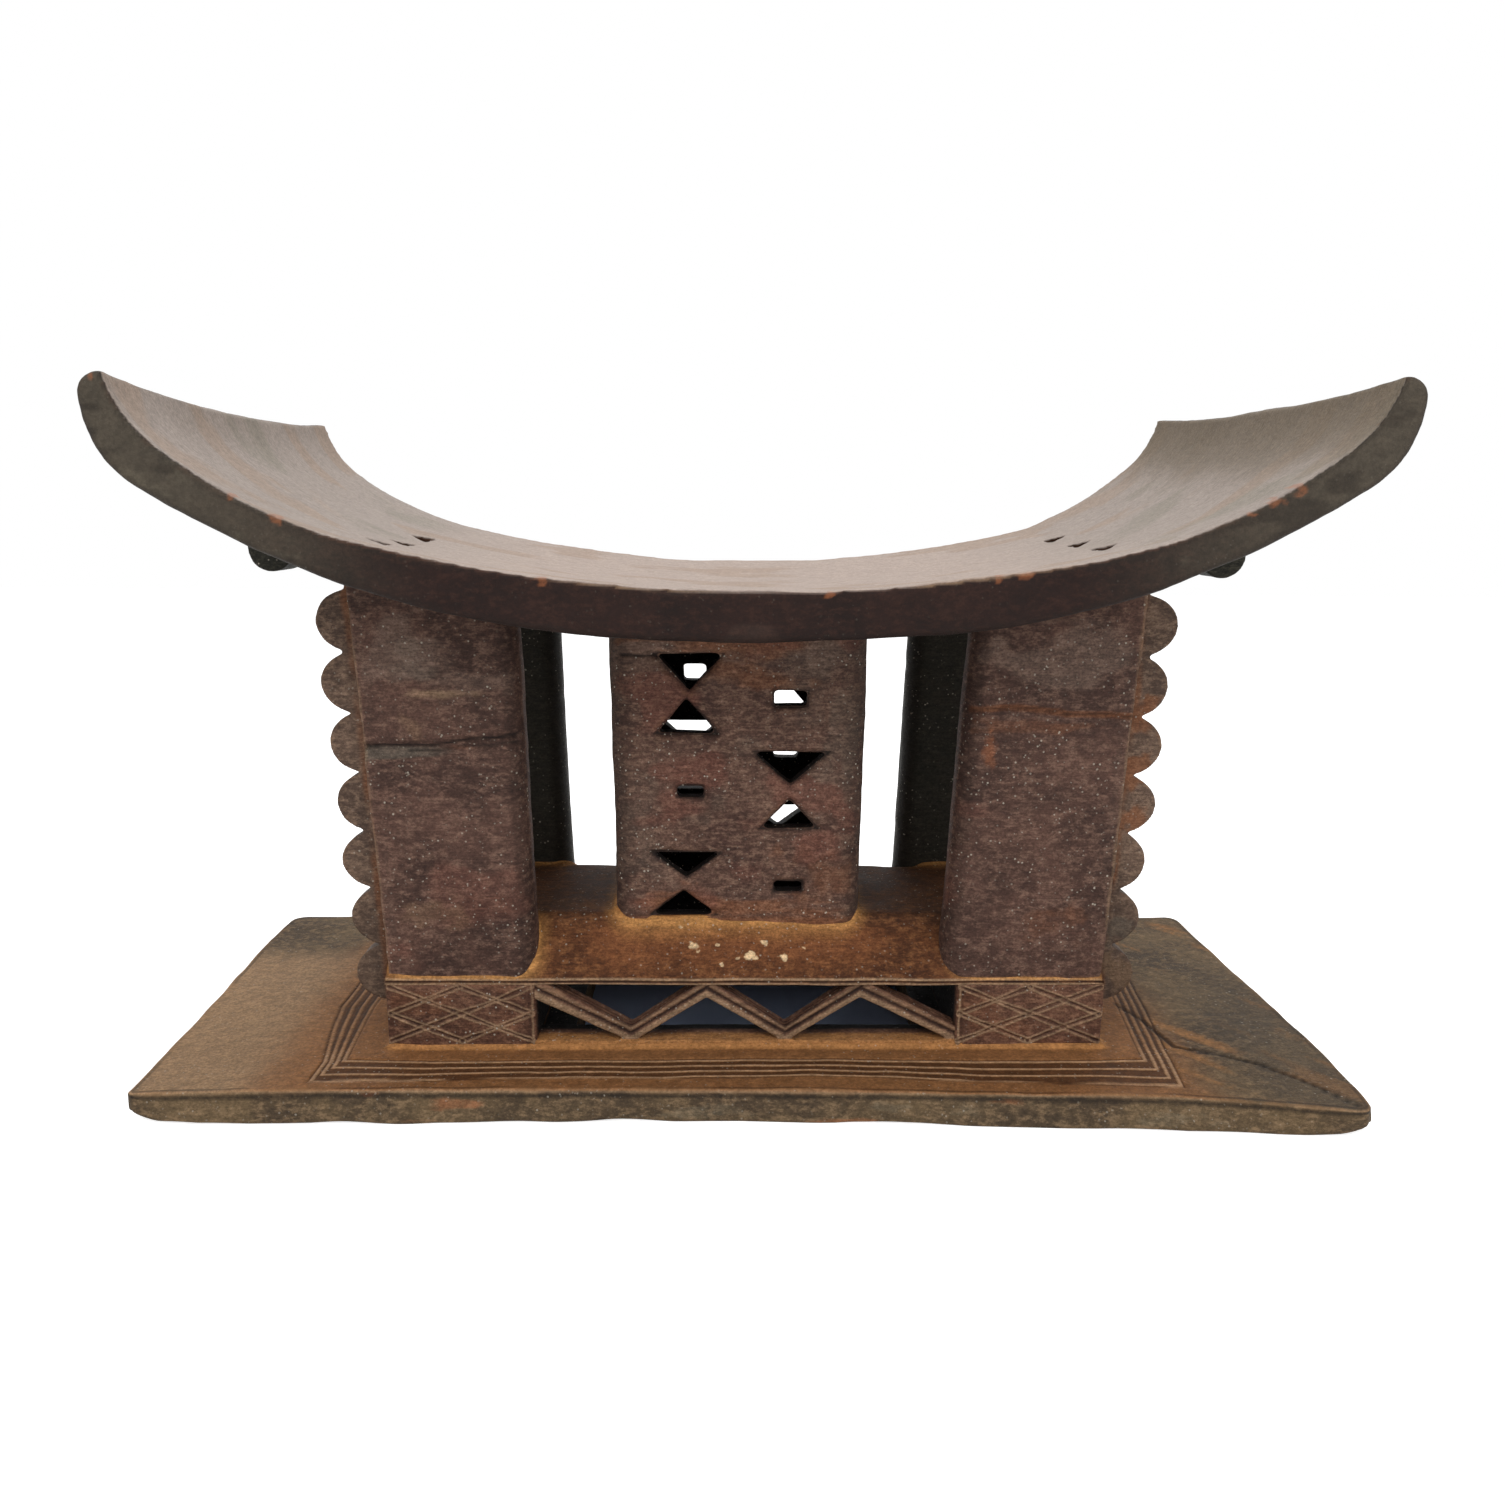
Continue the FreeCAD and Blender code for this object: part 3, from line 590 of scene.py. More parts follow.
def shape_base(skin, flat, edge):
    """Rounds and skews the even plate, lifts its corners and makes its edges uneven."""
    width, depth = BASE_HIGH[0], BASE_HIGH[1]
    x, y, z = flat.T
    to_corner = np.hypot(width - np.abs(x), depth - np.abs(y))
    near_corner = np.clip(1 - to_corner / CORNER_LIFT_REACH, 0, 1)
    lift = 0.4 * fade(to_corner, 4, 34) + CORNER_LIFT * (1 - np.sqrt(1 - near_corner ** 2))
    half = np.array([width, depth, BASE_TOP / 2])
    skin.at = rounded(flat, half * (0, 0, 1), half, np.full(3, BASE_ROUNDING))
    level = skin.at[:, 2].copy()
    skin.at[:, 2] = 0
    corner = np.where(y < 0, np.where(x < 0, *FRONT_CORNERS), BACK_CORNERS)
    corners = np.column_stack([corner, corner, np.ones(len(x))])
    skin.at = rounded(skin.at, np.zeros(3), np.array([width, depth, 1e3]), corners)
    skin.at[:, 2] = level + (1 - level / BASE_TOP) * lift
    skin.at = skewed_base(skin.at)
    low = 1 - z / BASE_TOP
    rim = fade(edge, 0, 6)
    skin.push(0.5 * rough_noise(skin.at, (60, 50, 30), 3, 3) * ramp(z, 1, 5)
              - rim * low * 0.7 * noise(skin.at, (26, 26, 60), 5)
              + rim * (1 - low) * 0.5 * noise(skin.at, (18, 18, 6), 6))
    skin.at[:, 2] += rim * low * np.clip(0.1 + 0.9 * noise(skin.at, (34, 34, 60), 8), 0, 1)
    skin.at[:, 2] = np.maximum(skin.at[:, 2], 0)
    skin.mark("wear", 0.5 * rim * ramp(z, BASE_TOP - 3, BASE_TOP))


def engrave_rings(skin, flat, top):
    """Four lines cut round the plinth, with raised lips between them."""
    wander = 0.9 * noise(flat, (48, 48, 60), 21) + 0.3 * noise(flat, (13, 13, 60), 22)
    x, y, _ = skin.at.T
    lip = np.zeros(len(x))
    cut = np.zeros(len(x))
    distances = [ring_distance(x, y, ring, wander * (1 + 0.4 * ring)) for ring in range(RING_COUNT)]
    for away in distances:
        lip = np.maximum(lip, groove(away, 1.0))
        cut = np.maximum(cut, groove(away - 1.5, 0.8))
    band = ramp(distances[0], -2.5, -1) * fade(distances[-1], 1, 2.5) * top
    skin.at[:, 2] += band * (0.35 * lip - 0.55)
    front = fade(y, -75, -60)
    # The lips get a painted highlight, strongest in front, and the cuts at the sides get painted shadow.
    skin.mark("line", lip * top * (0.35 + 0.65 * front))
    skin.mark("dark", 0.5 * cut * top * (1 - front))
    skin.mark("ditch", band * (1 - lip))


def stain_base(skin, flat, top):
    """Zones of colour on the plate's upper side, its raised seat for the plinth, and its crack."""
    x, y, _ = skin.at.T
    near = outside(x, y, (-END_HIGH[0], END_HIGH[0], -END_HIGH[1], END_HIGH[1]))
    skin.mark("foot", top * fade(near, 1.5, 4.5))
    skin.mark("warm", top * fade(outside(x, y, WARM_ZONE), 0, 55))
    skin.mark("tan", top * fade(x, -215, -150) * fade(y, 30, 90))
    turned = np.column_stack([0.63 * x - 0.78 * y, 0.78 * x + 0.63 * y, flat[:, 2]])
    streaks = ramp(rough_noise(turned, (60, 9, 30), 24, 3), -0.1, 0.7)
    skin.mark("ochre", top * ramp(x, 175, 205) * streaks)
    skin.mark("shadow", top * ramp(x, 195, 250) * fade(y, -40, 130))
    # The plate under the plinth is painted black as shade.
    skin.mark("dark", top * fade(outside(x, y, UNDER_PLINTH), 0, 1))
    skin.at[:, 2] += top * np.clip(2.5 - near, 0, 2.5) ** 2 * 0.3
    crack = from_line(x, y + 2.5 * noise(flat, (20, 20, 20), 31), BASE_CRACK)
    skin.at[:, 2] -= 0.8 * groove(crack, 1.4) * top
    skin.mark("dark", 0.85 * groove(crack, 1.9) * top)


def make_base():
    """Base plate: worn edges, a well under the plinth, and four hand-cut lines round the plinth."""
    skin = base_grid()
    flat = skin.at.copy()
    x, y, z = flat.T
    edge = np.minimum(BASE_HIGH[0] - np.abs(x), BASE_HIGH[1] - np.abs(y))
    top = ramp(z, BASE_TOP - 0.5, BASE_TOP - 0.1)
    shape_base(skin, flat, edge)
    engrave_rings(skin, flat, top)
    stain_base(skin, flat, top)
    arris = groove(edge, 1.2) * ramp(z, BASE_TOP - 1.4, BASE_TOP - 0.7)
    skin.mark("line", 0.6 * arris * (0.6 + 0.6 * noise(flat, (24, 24, 24), 33)))
    broken = ramp(noise(flat, (40, 40, 40), 35), -0.4, 0.3)
    skin.mark("dark", 0.55 * groove(edge - 2.2, 1.1) * top * broken)
    skin.mark("dark", 0.7 * groove(z - BASE_TOP + 2.3, 1.3) * fade(edge, 0, 0.4))
    for place, size in BASE_CHIPS:
        skin.spot("chip", place, size, 0.7)
    for place, size in BASE_PATCHES:
        skin.spot("patch", place, size, 0.5)
    return skin


def make_end(name, side):
    """Solid end of the plinth with crossing pairs of engraved lines on its front and back faces."""
    low, high = END_LOW, END_HIGH
    xs = lines_between(low[0], high[0], 0.42, 0.42, [])
    zs = lines_between(low[2] - 1, high[2] + 1, 0.42, 0.42, [])
    ys = lines_between(low[1], high[1], 4.0, 0.6, [(low[1], 2.5), (high[1], 2.5)])
    skin = grid_block(name, xs, ys, zs)
    x, y, z = skin.at.T
    left, right = low[0] + HATCH_MARGIN, high[0] - HATCH_MARGIN
    bottom, top = low[2] + 3.3, high[2]
    wander = 0.4 * noise(skin.at, (12, 30, 12), 41 + side) + 0.15 * noise(skin.at, (3, 30, 3), 44)
    cut = np.zeros(len(x))
    lip = np.zeros(len(x))
    for x0, z0, x1, z1 in HATCH_SHARES:
        start = (left + x0 * (right - left), bottom + z0 * (top - bottom))
        finish = (left + x1 * (right - left), bottom + z1 * (top - bottom))
        away = from_line(x, z, (start, finish))
        away = away + wander
        cut = np.maximum(cut, groove(away, 0.55))
        lip = np.maximum(lip, groove(np.abs(away) - HATCH_GAP / 2, 0.62))
    border = x - left + wander
    cut = np.maximum(cut, groove(border - 1.5, 0.8))
    lip = np.maximum(lip, groove(border, 0.7))
    face = ramp(np.abs(y), high[1] - 0.3, high[1] - 0.1)
    skin.at = rounded(skin.at, (low + high) / 2, (high - low) / 2 + (0, 0, 1), np.array([1.2, 1.2, 1.0]))
    skin.push(face * (0.25 * lip - 0.5 * cut) + 0.25 * rough_noise(skin.at, (30, 30, 16), 43, 2))
    skin.mark("line", face * lip * (0.75 + 0.25 * noise(skin.at, (9, 9, 9), 46)))
    skin.mark("dark", 0.15 * face * cut)
    skin.mark("orange", 0.5 * face * skin.patches((16, 16, 12), 47, 0.15, 0.6))
    # The inner face towards the well is painted black as shade.
    skin.mark("dark", ramp(-x, -low[0] - 1, -low[0]) * fade(np.abs(y), 56, 61))
    if side < 0:
        skin.at[:, :2] *= -1
    skin.mark_edges()
    return skin


def slat_foot(row, side):
    """Plan of the foot of a slat as low x, high x, low y, high y."""
    face = "front" if row < 0 else "back"
    where = "right" if side > 0 else "left"
    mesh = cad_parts[f"slat_{face}_{where}"].data
    feet = np.array([vertex.co for vertex in mesh.vertices]) / MM
    feet = feet[feet[:, 2] < DECK_HIGH[2] + 1]
    return feet[:, 0].min(), feet[:, 0].max(), feet[:, 1].min(), feet[:, 1].max()


FEET = [slat_foot(row, side) for row in (-1, 1) for side in (-1, 1)]
FEET.append((COLUMN_LOW[0], COLUMN_HIGH[0], -COLUMN_HALF_Y, COLUMN_HALF_Y))
FOOT_CORNER = 9.0
EAVE_Z = DECK_LOW[2] + 3.3


def from_feet(x, y):
    """How far each place is from the nearest foot on the deck, and less than 0 under it."""
    return np.minimum.reduce([outside(x, y, foot, FOOT_CORNER) for foot in FEET])


# Pale drops that ran down the front slope: place and half width.
DROPS = (
    (-25.3, -50.9, 59.8, 1.8), (-22.9, -53.0, 58.0, 1.0), (-11.9, -57.9, 53.3, 1.2),
    (-14.0, -51.0, 59.8, 0.9),
    (1.5, -54.5, 56.5, 2.0), (4.5, -55.5, 55.6, 1.5), (8.4, -50.1, 60.5, 1.3), (17.3, -55.2, 55.8, 1.8),
    (-4.0, -56.0, 55.0, 1.0), (27.0, -52.0, 59.0, 0.9), (-31.0, -44.5, 65.8, 1.0),
)


def make_deck():
    """Roof of the plinth: a hollow rise to each slat and the column, and two lines along its eaves."""
    def eaves(x, y, z):
        return ((np.abs(y) > 61) & (z < EAVE_Z + 2.5)) | ((np.abs(x) < 34) & (y < -44))

    skin = dense_copy("plinth_deck", 1.4, finer=eaves)
    skin.relax(1)
    x, y, z = skin.at.T
    near = from_feet(x, y)
    upper = ramp(skin.facing()[:, 2], 0.2, 0.6)
    radius = 3.2
    rise = radius - np.sqrt(np.clip(radius ** 2 - np.clip(radius - near, 0, radius) ** 2, 0, None))
    rise *= fade(np.abs(y), 58, 61.5) * ramp(near, -3, -1.5)
    skin.at[:, 2] += rise * upper * (1 + 0.25 * noise(skin.at, (20, 20, 20), 51))
    carve(skin, 0.45, 53)
    x, y, z = skin.at.T
    face = ramp(np.abs(y), 61.5, 62.5)
    level = z - DECK_LOW[2] + 0.3 * noise(skin.at, (30, 30, 30), 57)
    skin.push(-0.5 * face * groove(level - 2.2, 0.6))
    skin.mark("dark", 0.7 * face * groove(level - 2.2, 0.6))
    skin.mark("line", face * np.maximum(groove(level - 1.1, 0.7), groove(level - 3.3, 0.7)))
    near = from_feet(x, y)
    ragged_near = near + 0.7 * noise(skin.at, (10, 10, 10), 55)
    glow = 0.45 * fade(ragged_near, 1, 8) + 0.55 * fade(ragged_near, 0.4, 2.2)
    skin.mark("glow", upper * glow * ramp(near, -2.5, -1))
    # Under the slats and inside the column the deck is painted black as shade.
    skin.mark("dark", fade(near, -2.5, -1.5))
    skin.mark("orange", upper * fade(outside(x, y, FEET[-1]), 4, 28) * fade(y, -48, -36))
    skin.mark("shadow", fade(np.abs(y), 34, 50))
    for across, depth, height, half in DROPS:
        skin.spot("drop", (across, depth, height), (1.4 * half, half, 1.5 * half))
    return skin


def make_fret(name, turn):
    """Zigzag bar with ridges along it, on its sill."""
    low, high = node_box(name)
    reach_x = high[0]

    def reach(x, y, z):
        x += math.copysign(2.0, x) if abs(x) > reach_x - 0.5 else 0
        z += 2.0 if z > high[2] - 0.3 else (-1.0 if z < low[2] + 0.3 else 0)
        return x, y, z

    skin = dense_copy(name, 0.75, reach)
    skin.relax(1)
    x, y, z = skin.at.T
    top = high[2] - FRET_HALF_BAR + FRET_BITE
    bottom = low[2] + 3.3 + FRET_HALF_BAR - FRET_BITE
    levels = (top, bottom) * 3
    points = [(share * reach_x, level) for share, level in zip(TURN_SHARES, levels)]
    runs = list(zip(points[:-1], points[1:]))
    spans = np.array([from_line(x * turn, z, run) for run in runs])
    nearest = spans.argmin(axis=0)
    over = np.zeros(len(x))
    for index, ((x0, z0), (x1, z1)) in enumerate(runs):
        above = ((z - z0) * (x1 - x0) - (x * turn - x0) * (z1 - z0)) / math.hypot(x1 - x0, z1 - z0)
        over = np.where(nearest == index, above, over)
    bar = ramp(z, low[2] + 3.6, low[2] + 4.6)
    front = ramp(np.abs(y), 60.3, 61.5)
    depth = np.abs(y)
    seam = groove(over - 1.1, 0.9) * front * bar
    inner_seams = np.maximum(groove(depth - 58.6, 0.9), groove(depth - 55.8, 0.7)) * bar * (1 - front)
    skin.push(-1.1 * seam - 0.7 * inner_seams)
    carve(skin, 0.2, 61)
    # Painted shadow in the seams, and painted highlight on the bar's lower half and on its ridge.
    skin.mark("dark", np.maximum(0.6 * seam, 0.5 * inner_seams))
    skin.mark("line", 0.8 * front * bar * fade(over, -0.6, 0.2))
    skin.mark("line", 0.5 * front * bar * groove(over - 2.8, 1.0))
    skin.mark("foot", (1 - bar) * ramp(depth, 50, 58))
    # The inner side of the sill is painted black as shade.
    skin.mark("dark", fade(depth, 49, 52))
    return skin


# Where holes of the column differ from the even ones: middle, lowest and highest point of a hole,
# then how far it moves across and up, how much wider it is and how much taller.
HOLE_CHANGES = {
    "column_back_wall": (
        (-29.2, 173, 181, 1.8, 0.9, 0.82, 1.55), (-29.2, 135, 152, 0, 2.0, 1.0, 1.0),
        (19.2, 160, 176.5, 0, -0.8, 1.0, 1.1),
        (19.2, 129, 136, 1.5, 2.8, 1.0, 1.0), (19.2, 87, 103.5, -2.0, 4.0, 1.0, 1.0),
    ),
    "column_front_wall": (
        (-29.2, 182, 198.5, 1.4, -1.0, 1.14, 1.2), (-29.2, 160.5, 176.5, 0, -0.2, 1.08, 1.2),
        (-29.2, 129, 135.5, 1.8, -0.1, 0.96, 1.08), (-29.2, 72, 87.5, -1.3, -1.0, 1.14, 1.05),
        (19.2, 173, 181, 0, -0.4, 1.08, 1.3), (19.2, 136, 151.5, 0.3, 0, 1.1, 1.12),
        (19.2, 114, 130, 0, 0, 1.05, 1.12), (19.2, 83, 88.8, -0.2, 0, 0.98, 1.15),
    ),
}


COLUMN_FLARE = 1.2
COLUMN_STAINS = (
    ("orange", -5, 203, 60, 4, 10, 0.9), ("orange", 2, 188, 30, 4, 14, 0.7),
    ("chip", -29, 87.5, 7, 4, 3, 0.5), ("orange", 34, 92, 24, 4, 24, 0.6),
    ("orange", -5, 76, 70, 4, 7, 0.8), ("grey", 44, 165, 12, 4, 40, 0.6),
)


def changed_hole(node, x, z):
    """Where a point of a hole's edge is on the wall as it was cut, or None where nothing changes."""
    for centre, bottom, top, across, up, wider, taller in HOLE_CHANGES.get(node, ()):
        if abs(x - centre) < 20 and bottom < z < top:
            level = (bottom + top) / 2
            return centre + across + (x - centre) * wider, level + up + (z - level) * taller
    return None


def hole_edges(node, outer_y):
    """Ends of the edges round the holes on the outer face of a wall, in X and Z."""
    low, high = node_box(node)
    work = bmesh.new()
    work.from_mesh(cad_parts[node].data)
    bmesh.ops.remove_doubles(work, verts=work.verts, dist=1e-6)
    found = []
    for edge in work.edges:
        ends = [vertex.co / MM for vertex in edge.verts]
        on_face = all(abs(end.y - outer_y) < 0.05 and end.z < high[2] - 8 for end in ends)
        inside = all(low[0] + 12 < end.x < high[0] - 12 for end in ends)
        above = any(end.z > DECK_HIGH[2] + 1 for end in ends)
        if on_face and inside and above and edge.calc_face_angle(0) > 0.5:
            found.append([changed_hole(node, end.x, end.z) or (end.x, end.z) for end in ends])
    work.free()
    return found


COLUMN_MIDDLE = (COLUMN_LOW[0] + COLUMN_HIGH[0]) / 2
COLUMN_CORNER = 9.0


def work_front_wall(skin, name, outer):
    """Bevels the holes of the front wall, darkens their edges with painted shade, and gives it knife
    marks and a crack.
    """
    x, _, z = skin.at.T
    away = np.full(len(x), np.inf)
    for ends in hole_edges(name, -COLUMN_HALF_Y):
        away = np.minimum(away, from_line(x, z, ends))
    away += 0.5 * noise(skin.at, (9, 9, 9), 73)
    skin.at[:, 1] += outer * 1.9 * np.clip(1 - away / 2.6, 0, 1) ** 1.5
    # Painted shade round the edges of the holes.
    skin.mark("dark", 0.8 * outer * fade(away, 0.2, 1.0))
    chatter = fade(np.hypot((x - 28) / 20, (z - 96) / 22), 0.5, 1)
    level = z + 1.5 * noise(skin.at, (18, 18, 18), 75)
    skin.at[:, 1] += outer * chatter * 0.3 * np.sin(2 * math.pi * level / 2.7)
    crack = from_line(x, z + noise(skin.at, (8, 8, 8), 77), ((-63, 196.6), (-38, 196.4)))
    skin.at[:, 1] += outer * groove(crack, 1.1) * 0.8
    skin.mark("dark", 0.8 * outer * groove(crack, 1.1))


def make_column_wall(name, voxel):
    """Wall of the column, with soft, uneven edges to its holes."""
    high = node_box(name)[1]

    def reach(x, y, z):
        if z > high[2] - 6:
            z += 4
        if z < DECK_HIGH[2] + 0.5:
            z -= 4
        new_x, new_z = changed_hole(name, x, z) or (x, z)
        return new_x, y, new_z

    skin = dense_copy(name, voxel, reach)
    x, y, z = skin.at.T
    swell = 1 - ((x - COLUMN_MIDDLE) / 60) ** 2
    outer = ramp(np.abs(y), COLUMN_HALF_Y - 1.2, COLUMN_HALF_Y - 0.4)
    if "front" in name:
        work_front_wall(skin, name, outer)
    skin.at[:, 1] += np.sign(y) * outer * (0.9 * swell - 0.3)
    across = x - COLUMN_MIDDLE
    skin.at[:, 0] += COLUMN_FLARE * np.sign(across) * ramp(np.abs(across), 40, 52) * ramp(z, 90, 205)
    carve(skin, 0.45, 71)
    x, y, z = skin.at.T
    half = np.array([[(COLUMN_HIGH[0] - COLUMN_LOW[0]) / 2], [COLUMN_HALF_Y]])
    past = np.abs([x - COLUMN_MIDDLE, y]) - half + COLUMN_CORNER
    deep = COLUMN_CORNER - np.hypot(*np.maximum(past, 0)) - np.minimum(past.max(axis=0), 0)
    facing_out = fade(deep, 1.2, 2.4)
    # The inner faces of the hollow column are painted black as shade.
    skin.mark("dark", 0.95 * (1 - facing_out) * ramp(z, DECK_HIGH[2] - 8, DECK_HIGH[2] - 6))
    skin.mark("orange", facing_out * fade(z, DECK_HIGH[2] - 3, DECK_HIGH[2] + 4))
    if "front" in name:
        # Painted shade down the rounded corners of the front wall.
        skin.mark("dirt_and_shade", 0.8 * facing_out * ramp(np.abs(x - COLUMN_MIDDLE), 45, 57))
        skin.mark("ruddy", facing_out * skin.patches((36, 30, 26), 117, 0.0, 0.6, 3))
        skin.mark("grey", 0.5 * facing_out * skin.patches((28, 30, 34), 119, 0.1, 0.7, 3))
        # Painted light: the top of the front wall is lightened against the shade under the seat.
        skin.mark("pale", 0.8 * facing_out * ramp(z, 165, 205))
        skin.stain(-COLUMN_HALF_Y, COLUMN_STAINS)
    return skin


# The outer edge of a slat leans from the eaves to the seat.
SLAT_FOOT = 166.5
SLAT_LEAN = 8.4 / 164.2


def slat_edge(z):
    return SLAT_FOOT + (z - EAVE_Z) * SLAT_LEAN


# How far the inner edge of each slat moves at its foot and at its head, for row and side.
INNER_EDGE_MOVES = {(-1, -1): (0, 1.5), (-1, 1): (-7, -4), (1, -1): (-4, -4), (1, 1): (-7.5, -8)}
# Stains on the left and the right front slat, as Skin.stain takes them; the pale ones near the top are
# painted light against the shade under the seat.
SLAT_STAINS = {
    -1: (("chip", -132, 156.4, 13, 4, 1.1, 0.5), ("tan", -150, 167, 9, 4, 7, 0.6),
         ("grey", -148, 197, 17, 4, 12, 0.7), ("line", -137, 181, 14, 4, 2.2, 0.5),
         ("tan", -141, 79, 20, 9, 9, 0.6), ("orange", -120, 84, 16, 9, 8, 0.35),
         ("pale", -152, 200, 22, 9, 18, 0.9), ("pale", -122, 185, 24, 9, 9, 0.7)),
    1: (("chip", 109, 157, 5, 9, 10, 0.7), ("orange", 133, 168, 38, 9, 5, 0.6),
        ("pale", 140, 197, 34, 9, 16, 0.9), ("orange", 140, 74, 20, 9, 12, 0.55)),
}


def split_slat(skin, face, wave):
    """The left front slat's two open splits, and the step of grey wood below them."""
    x, _, z = skin.at.T
    upper = from_line(x, z + wave, ((-176, 157.6), (-140, 158.6), (-104, 161.8)))
    lower = from_line(x, z + wave, ((-152, 155.2), (-104, 158.5)))
    skin.push(-face * np.maximum(1.7 * groove(upper, 1.3), 0.9 * groove(lower, 1.0)))
    skin.mark("dark", face * np.maximum(0.9 * groove(upper, 1.2), 0.7 * groove(lower, 0.9)))
    below = ramp(157.8 - z, -0.5, 0.8) * ramp(z - 151 - 0.07 * (x + 172), -1.2, 0)
    below *= fade(x, -150, -118)
    skin.at[:, 1] += 0.8 * face * below
    skin.mark("grey", face * below)


def crack_slat(skin, face, wave):
    """The right front slat's fine crack."""
    x, _, z = skin.at.T
    crack = from_line(x, z + wave, ((96, 176), (133, 174.7), (172, 173)))
    skin.push(-1.0 * face * groove(crack, 1.3))
    skin.mark("orange", face * groove(crack, 2.4))
    skin.mark("dark", 0.6 * face * groove(crack, 0.8))


def soften_inner_edge(skin):
    """Rounds the edges of a slat towards the column, far more than the outer ones, and darkens them with
    painted shade.
    """
    turning = np.abs(skin.facing())
    arris = ramp(turning[:, 0], 0.2, 0.6) * ramp(turning[:, 1], 0.2, 0.6)
    arris *= fade(np.abs(skin.at[:, 0]), 125, 140)
    for _ in range(3):
        arris = np.clip(1.3 * np.maximum(arris, skin.around(arris)), 0, 1)
    skin.relax(16, 0.5 * arris)
    # The rounded inner edge is darkened as painted shade.
    skin.mark("dirt_and_shade", 0.5 * arris)


def make_slat(name, row, side):
    """Corner slat: slightly crowned, the left front one split and the right front one cracked."""
    high = node_box(name)[1]
    foot_move, head_move = INNER_EDGE_MOVES[row, side]

    def reach(x, y, z):
        if abs(x) < 125:
            share = min(max((z - DECK_LOW[2]) / (high[2] - DECK_LOW[2]), 0), 1)
            x += foot_move + (head_move - foot_move) * share
        return x, y, z - 4 if z < DECK_HIGH[2] + 1 else z + 4

    skin = dense_copy(name, 1.2, reach)
    x, y, z = skin.at.T
    crown = 1 - ((np.abs(x) - 135) / 36) ** 2
    skin.at[:, 1] += row * 0.8 * crown * ramp((y - row * 50.25) * row, 6, 10)
    carve(skin, 0.5, 81 + 2 * row + side)
    soften_inner_edge(skin)
    x, y, z = skin.at.T
    face = fade(skin.facing()[:, 1], -0.7, -0.3)
    outer = slat_edge(z) - np.abs(x)
    wave = 0.9 * noise(skin.at, (24, 30, 30), 85) + 0.4 * noise(skin.at, (6, 30, 30), 86)
    if row < 0:
        (split_slat if side < 0 else crack_slat)(skin, face, wave)
    skin.mark("ruddy", 0.7 * skin.patches((40, 30, 30), 117 + side, 0.1, 0.7, 3))
    if row > 0:
        # The back slats' faces towards the front are painted near black as shade, without worn edges.
        shade = fade(skin.facing()[:, 1], 0, 0.6)
        skin.mark("shade", shade)
        skin.marks["wear"] = skin.marks["wear"] * (1 - shade)
        return skin
    skin.stain(-61, SLAT_STAINS[side])
    ashen = skin.patches((9, 9, 30), 88, -0.6, 0.3)
    skin.mark("grey", 0.35 * face * groove(outer - 4.5, 3.6) * ashen)
    skin.mark("line", 0.4 * face * groove(outer - 0.6, 1.0) * skin.patches((9, 9, 16), 89, -0.7, 0.3))
    skin.mark("foot", 0.5 * face * fade(z, EAVE_Z + 1, EAVE_Z + 2.4))
    return skin


LOBE_PITCH = 27.5
LOBE_NECK = 3.5
# Where the notches between the lobes end and how far the lobes reach, from the edge of the slat.
LOBE_CUSP = 1.4
LOBE_TIP = 16.8
LOBE_STAINS = [row for height in (172, 146, 122)
               for row in (("orange", 178, height, 9, 6, 10, 1.0), ("chip", 175, height, 5, 6, 7, 0.35))]
LOBE_STAINS += [("tan", 177, 47, 9, 6, 12, 0.9), ("grey", 178, 70, 9, 6, 11, 0.8)]


def make_lobes(name, row, side):
    """Scalloped strip: seven round lobes that meet in narrow notches."""
    low = node_box(name)[0]

    def reach(x, y, z):
        past = abs(x) - slat_edge(z)
        if past < 1:
            return x - side * 4, y, z
        along = ((z - low[2]) / math.cos(math.atan(SLAT_LEAN)) + SLAT_LEAN * past) / LOBE_PITCH
        phase = (along % 1 - 0.5) * 2
        room = max(1 - phase ** 2, 0)
        even = LOBE_NECK + LOBE_PITCH / 2 * math.sqrt(room)
        wanted = LOBE_CUSP + (LOBE_TIP - LOBE_CUSP) * room ** 0.52
        uneven = 1 + 0.04 * math.sin(int(along) * 2.1 + 2 * side + row)
        return x + side * past * (wanted * uneven / even - 1), y, z

    skin = dense_copy(name, 0.85, reach)
    carve(skin, 0.3, 91 + 2 * row + side)
    x, y, z = skin.at.T
    past = np.abs(x) - slat_edge(z)
    skin.mark("orange", fade(past, 2, 6.5) * (0.7 + 0.4 * noise(skin.at, (14, 14, 14), 95)))
    skin.mark("line", 0.35 * groove(past - 0.6, 1.0) * skin.patches((9, 9, 14), 96, -0.6, 0.3))
    # The lobes are darker towards the bottom.
    skin.mark("dirt_and_shade", 0.55 * fade(z, 60, 110))
    if side > 0 and row < 0:
        skin.stain(-56, LOBE_STAINS)
    return skin


# How far each end of the seat reaches out and up beyond the even one: side and row, then across and up.
SEAT_CORNER_MOVES = {(-1, -1): (1.3, 0.3), (1, -1): (3.2, 3.7), (-1, 1): (0.0, -5.2), (1, 1): (-6.0, 3.0)}
# The even notches: their middles along each row, and how far their corners are from there.
NOTCH_X = 161.5
NOTCH_HALF = 6.8
NOTCH_NEAR = 5.5
NOTCH_FAR = 5.0
NOTCH_MIDDLES = {-1: (-55, -15, 25), 1: (-25, 15, 55)}
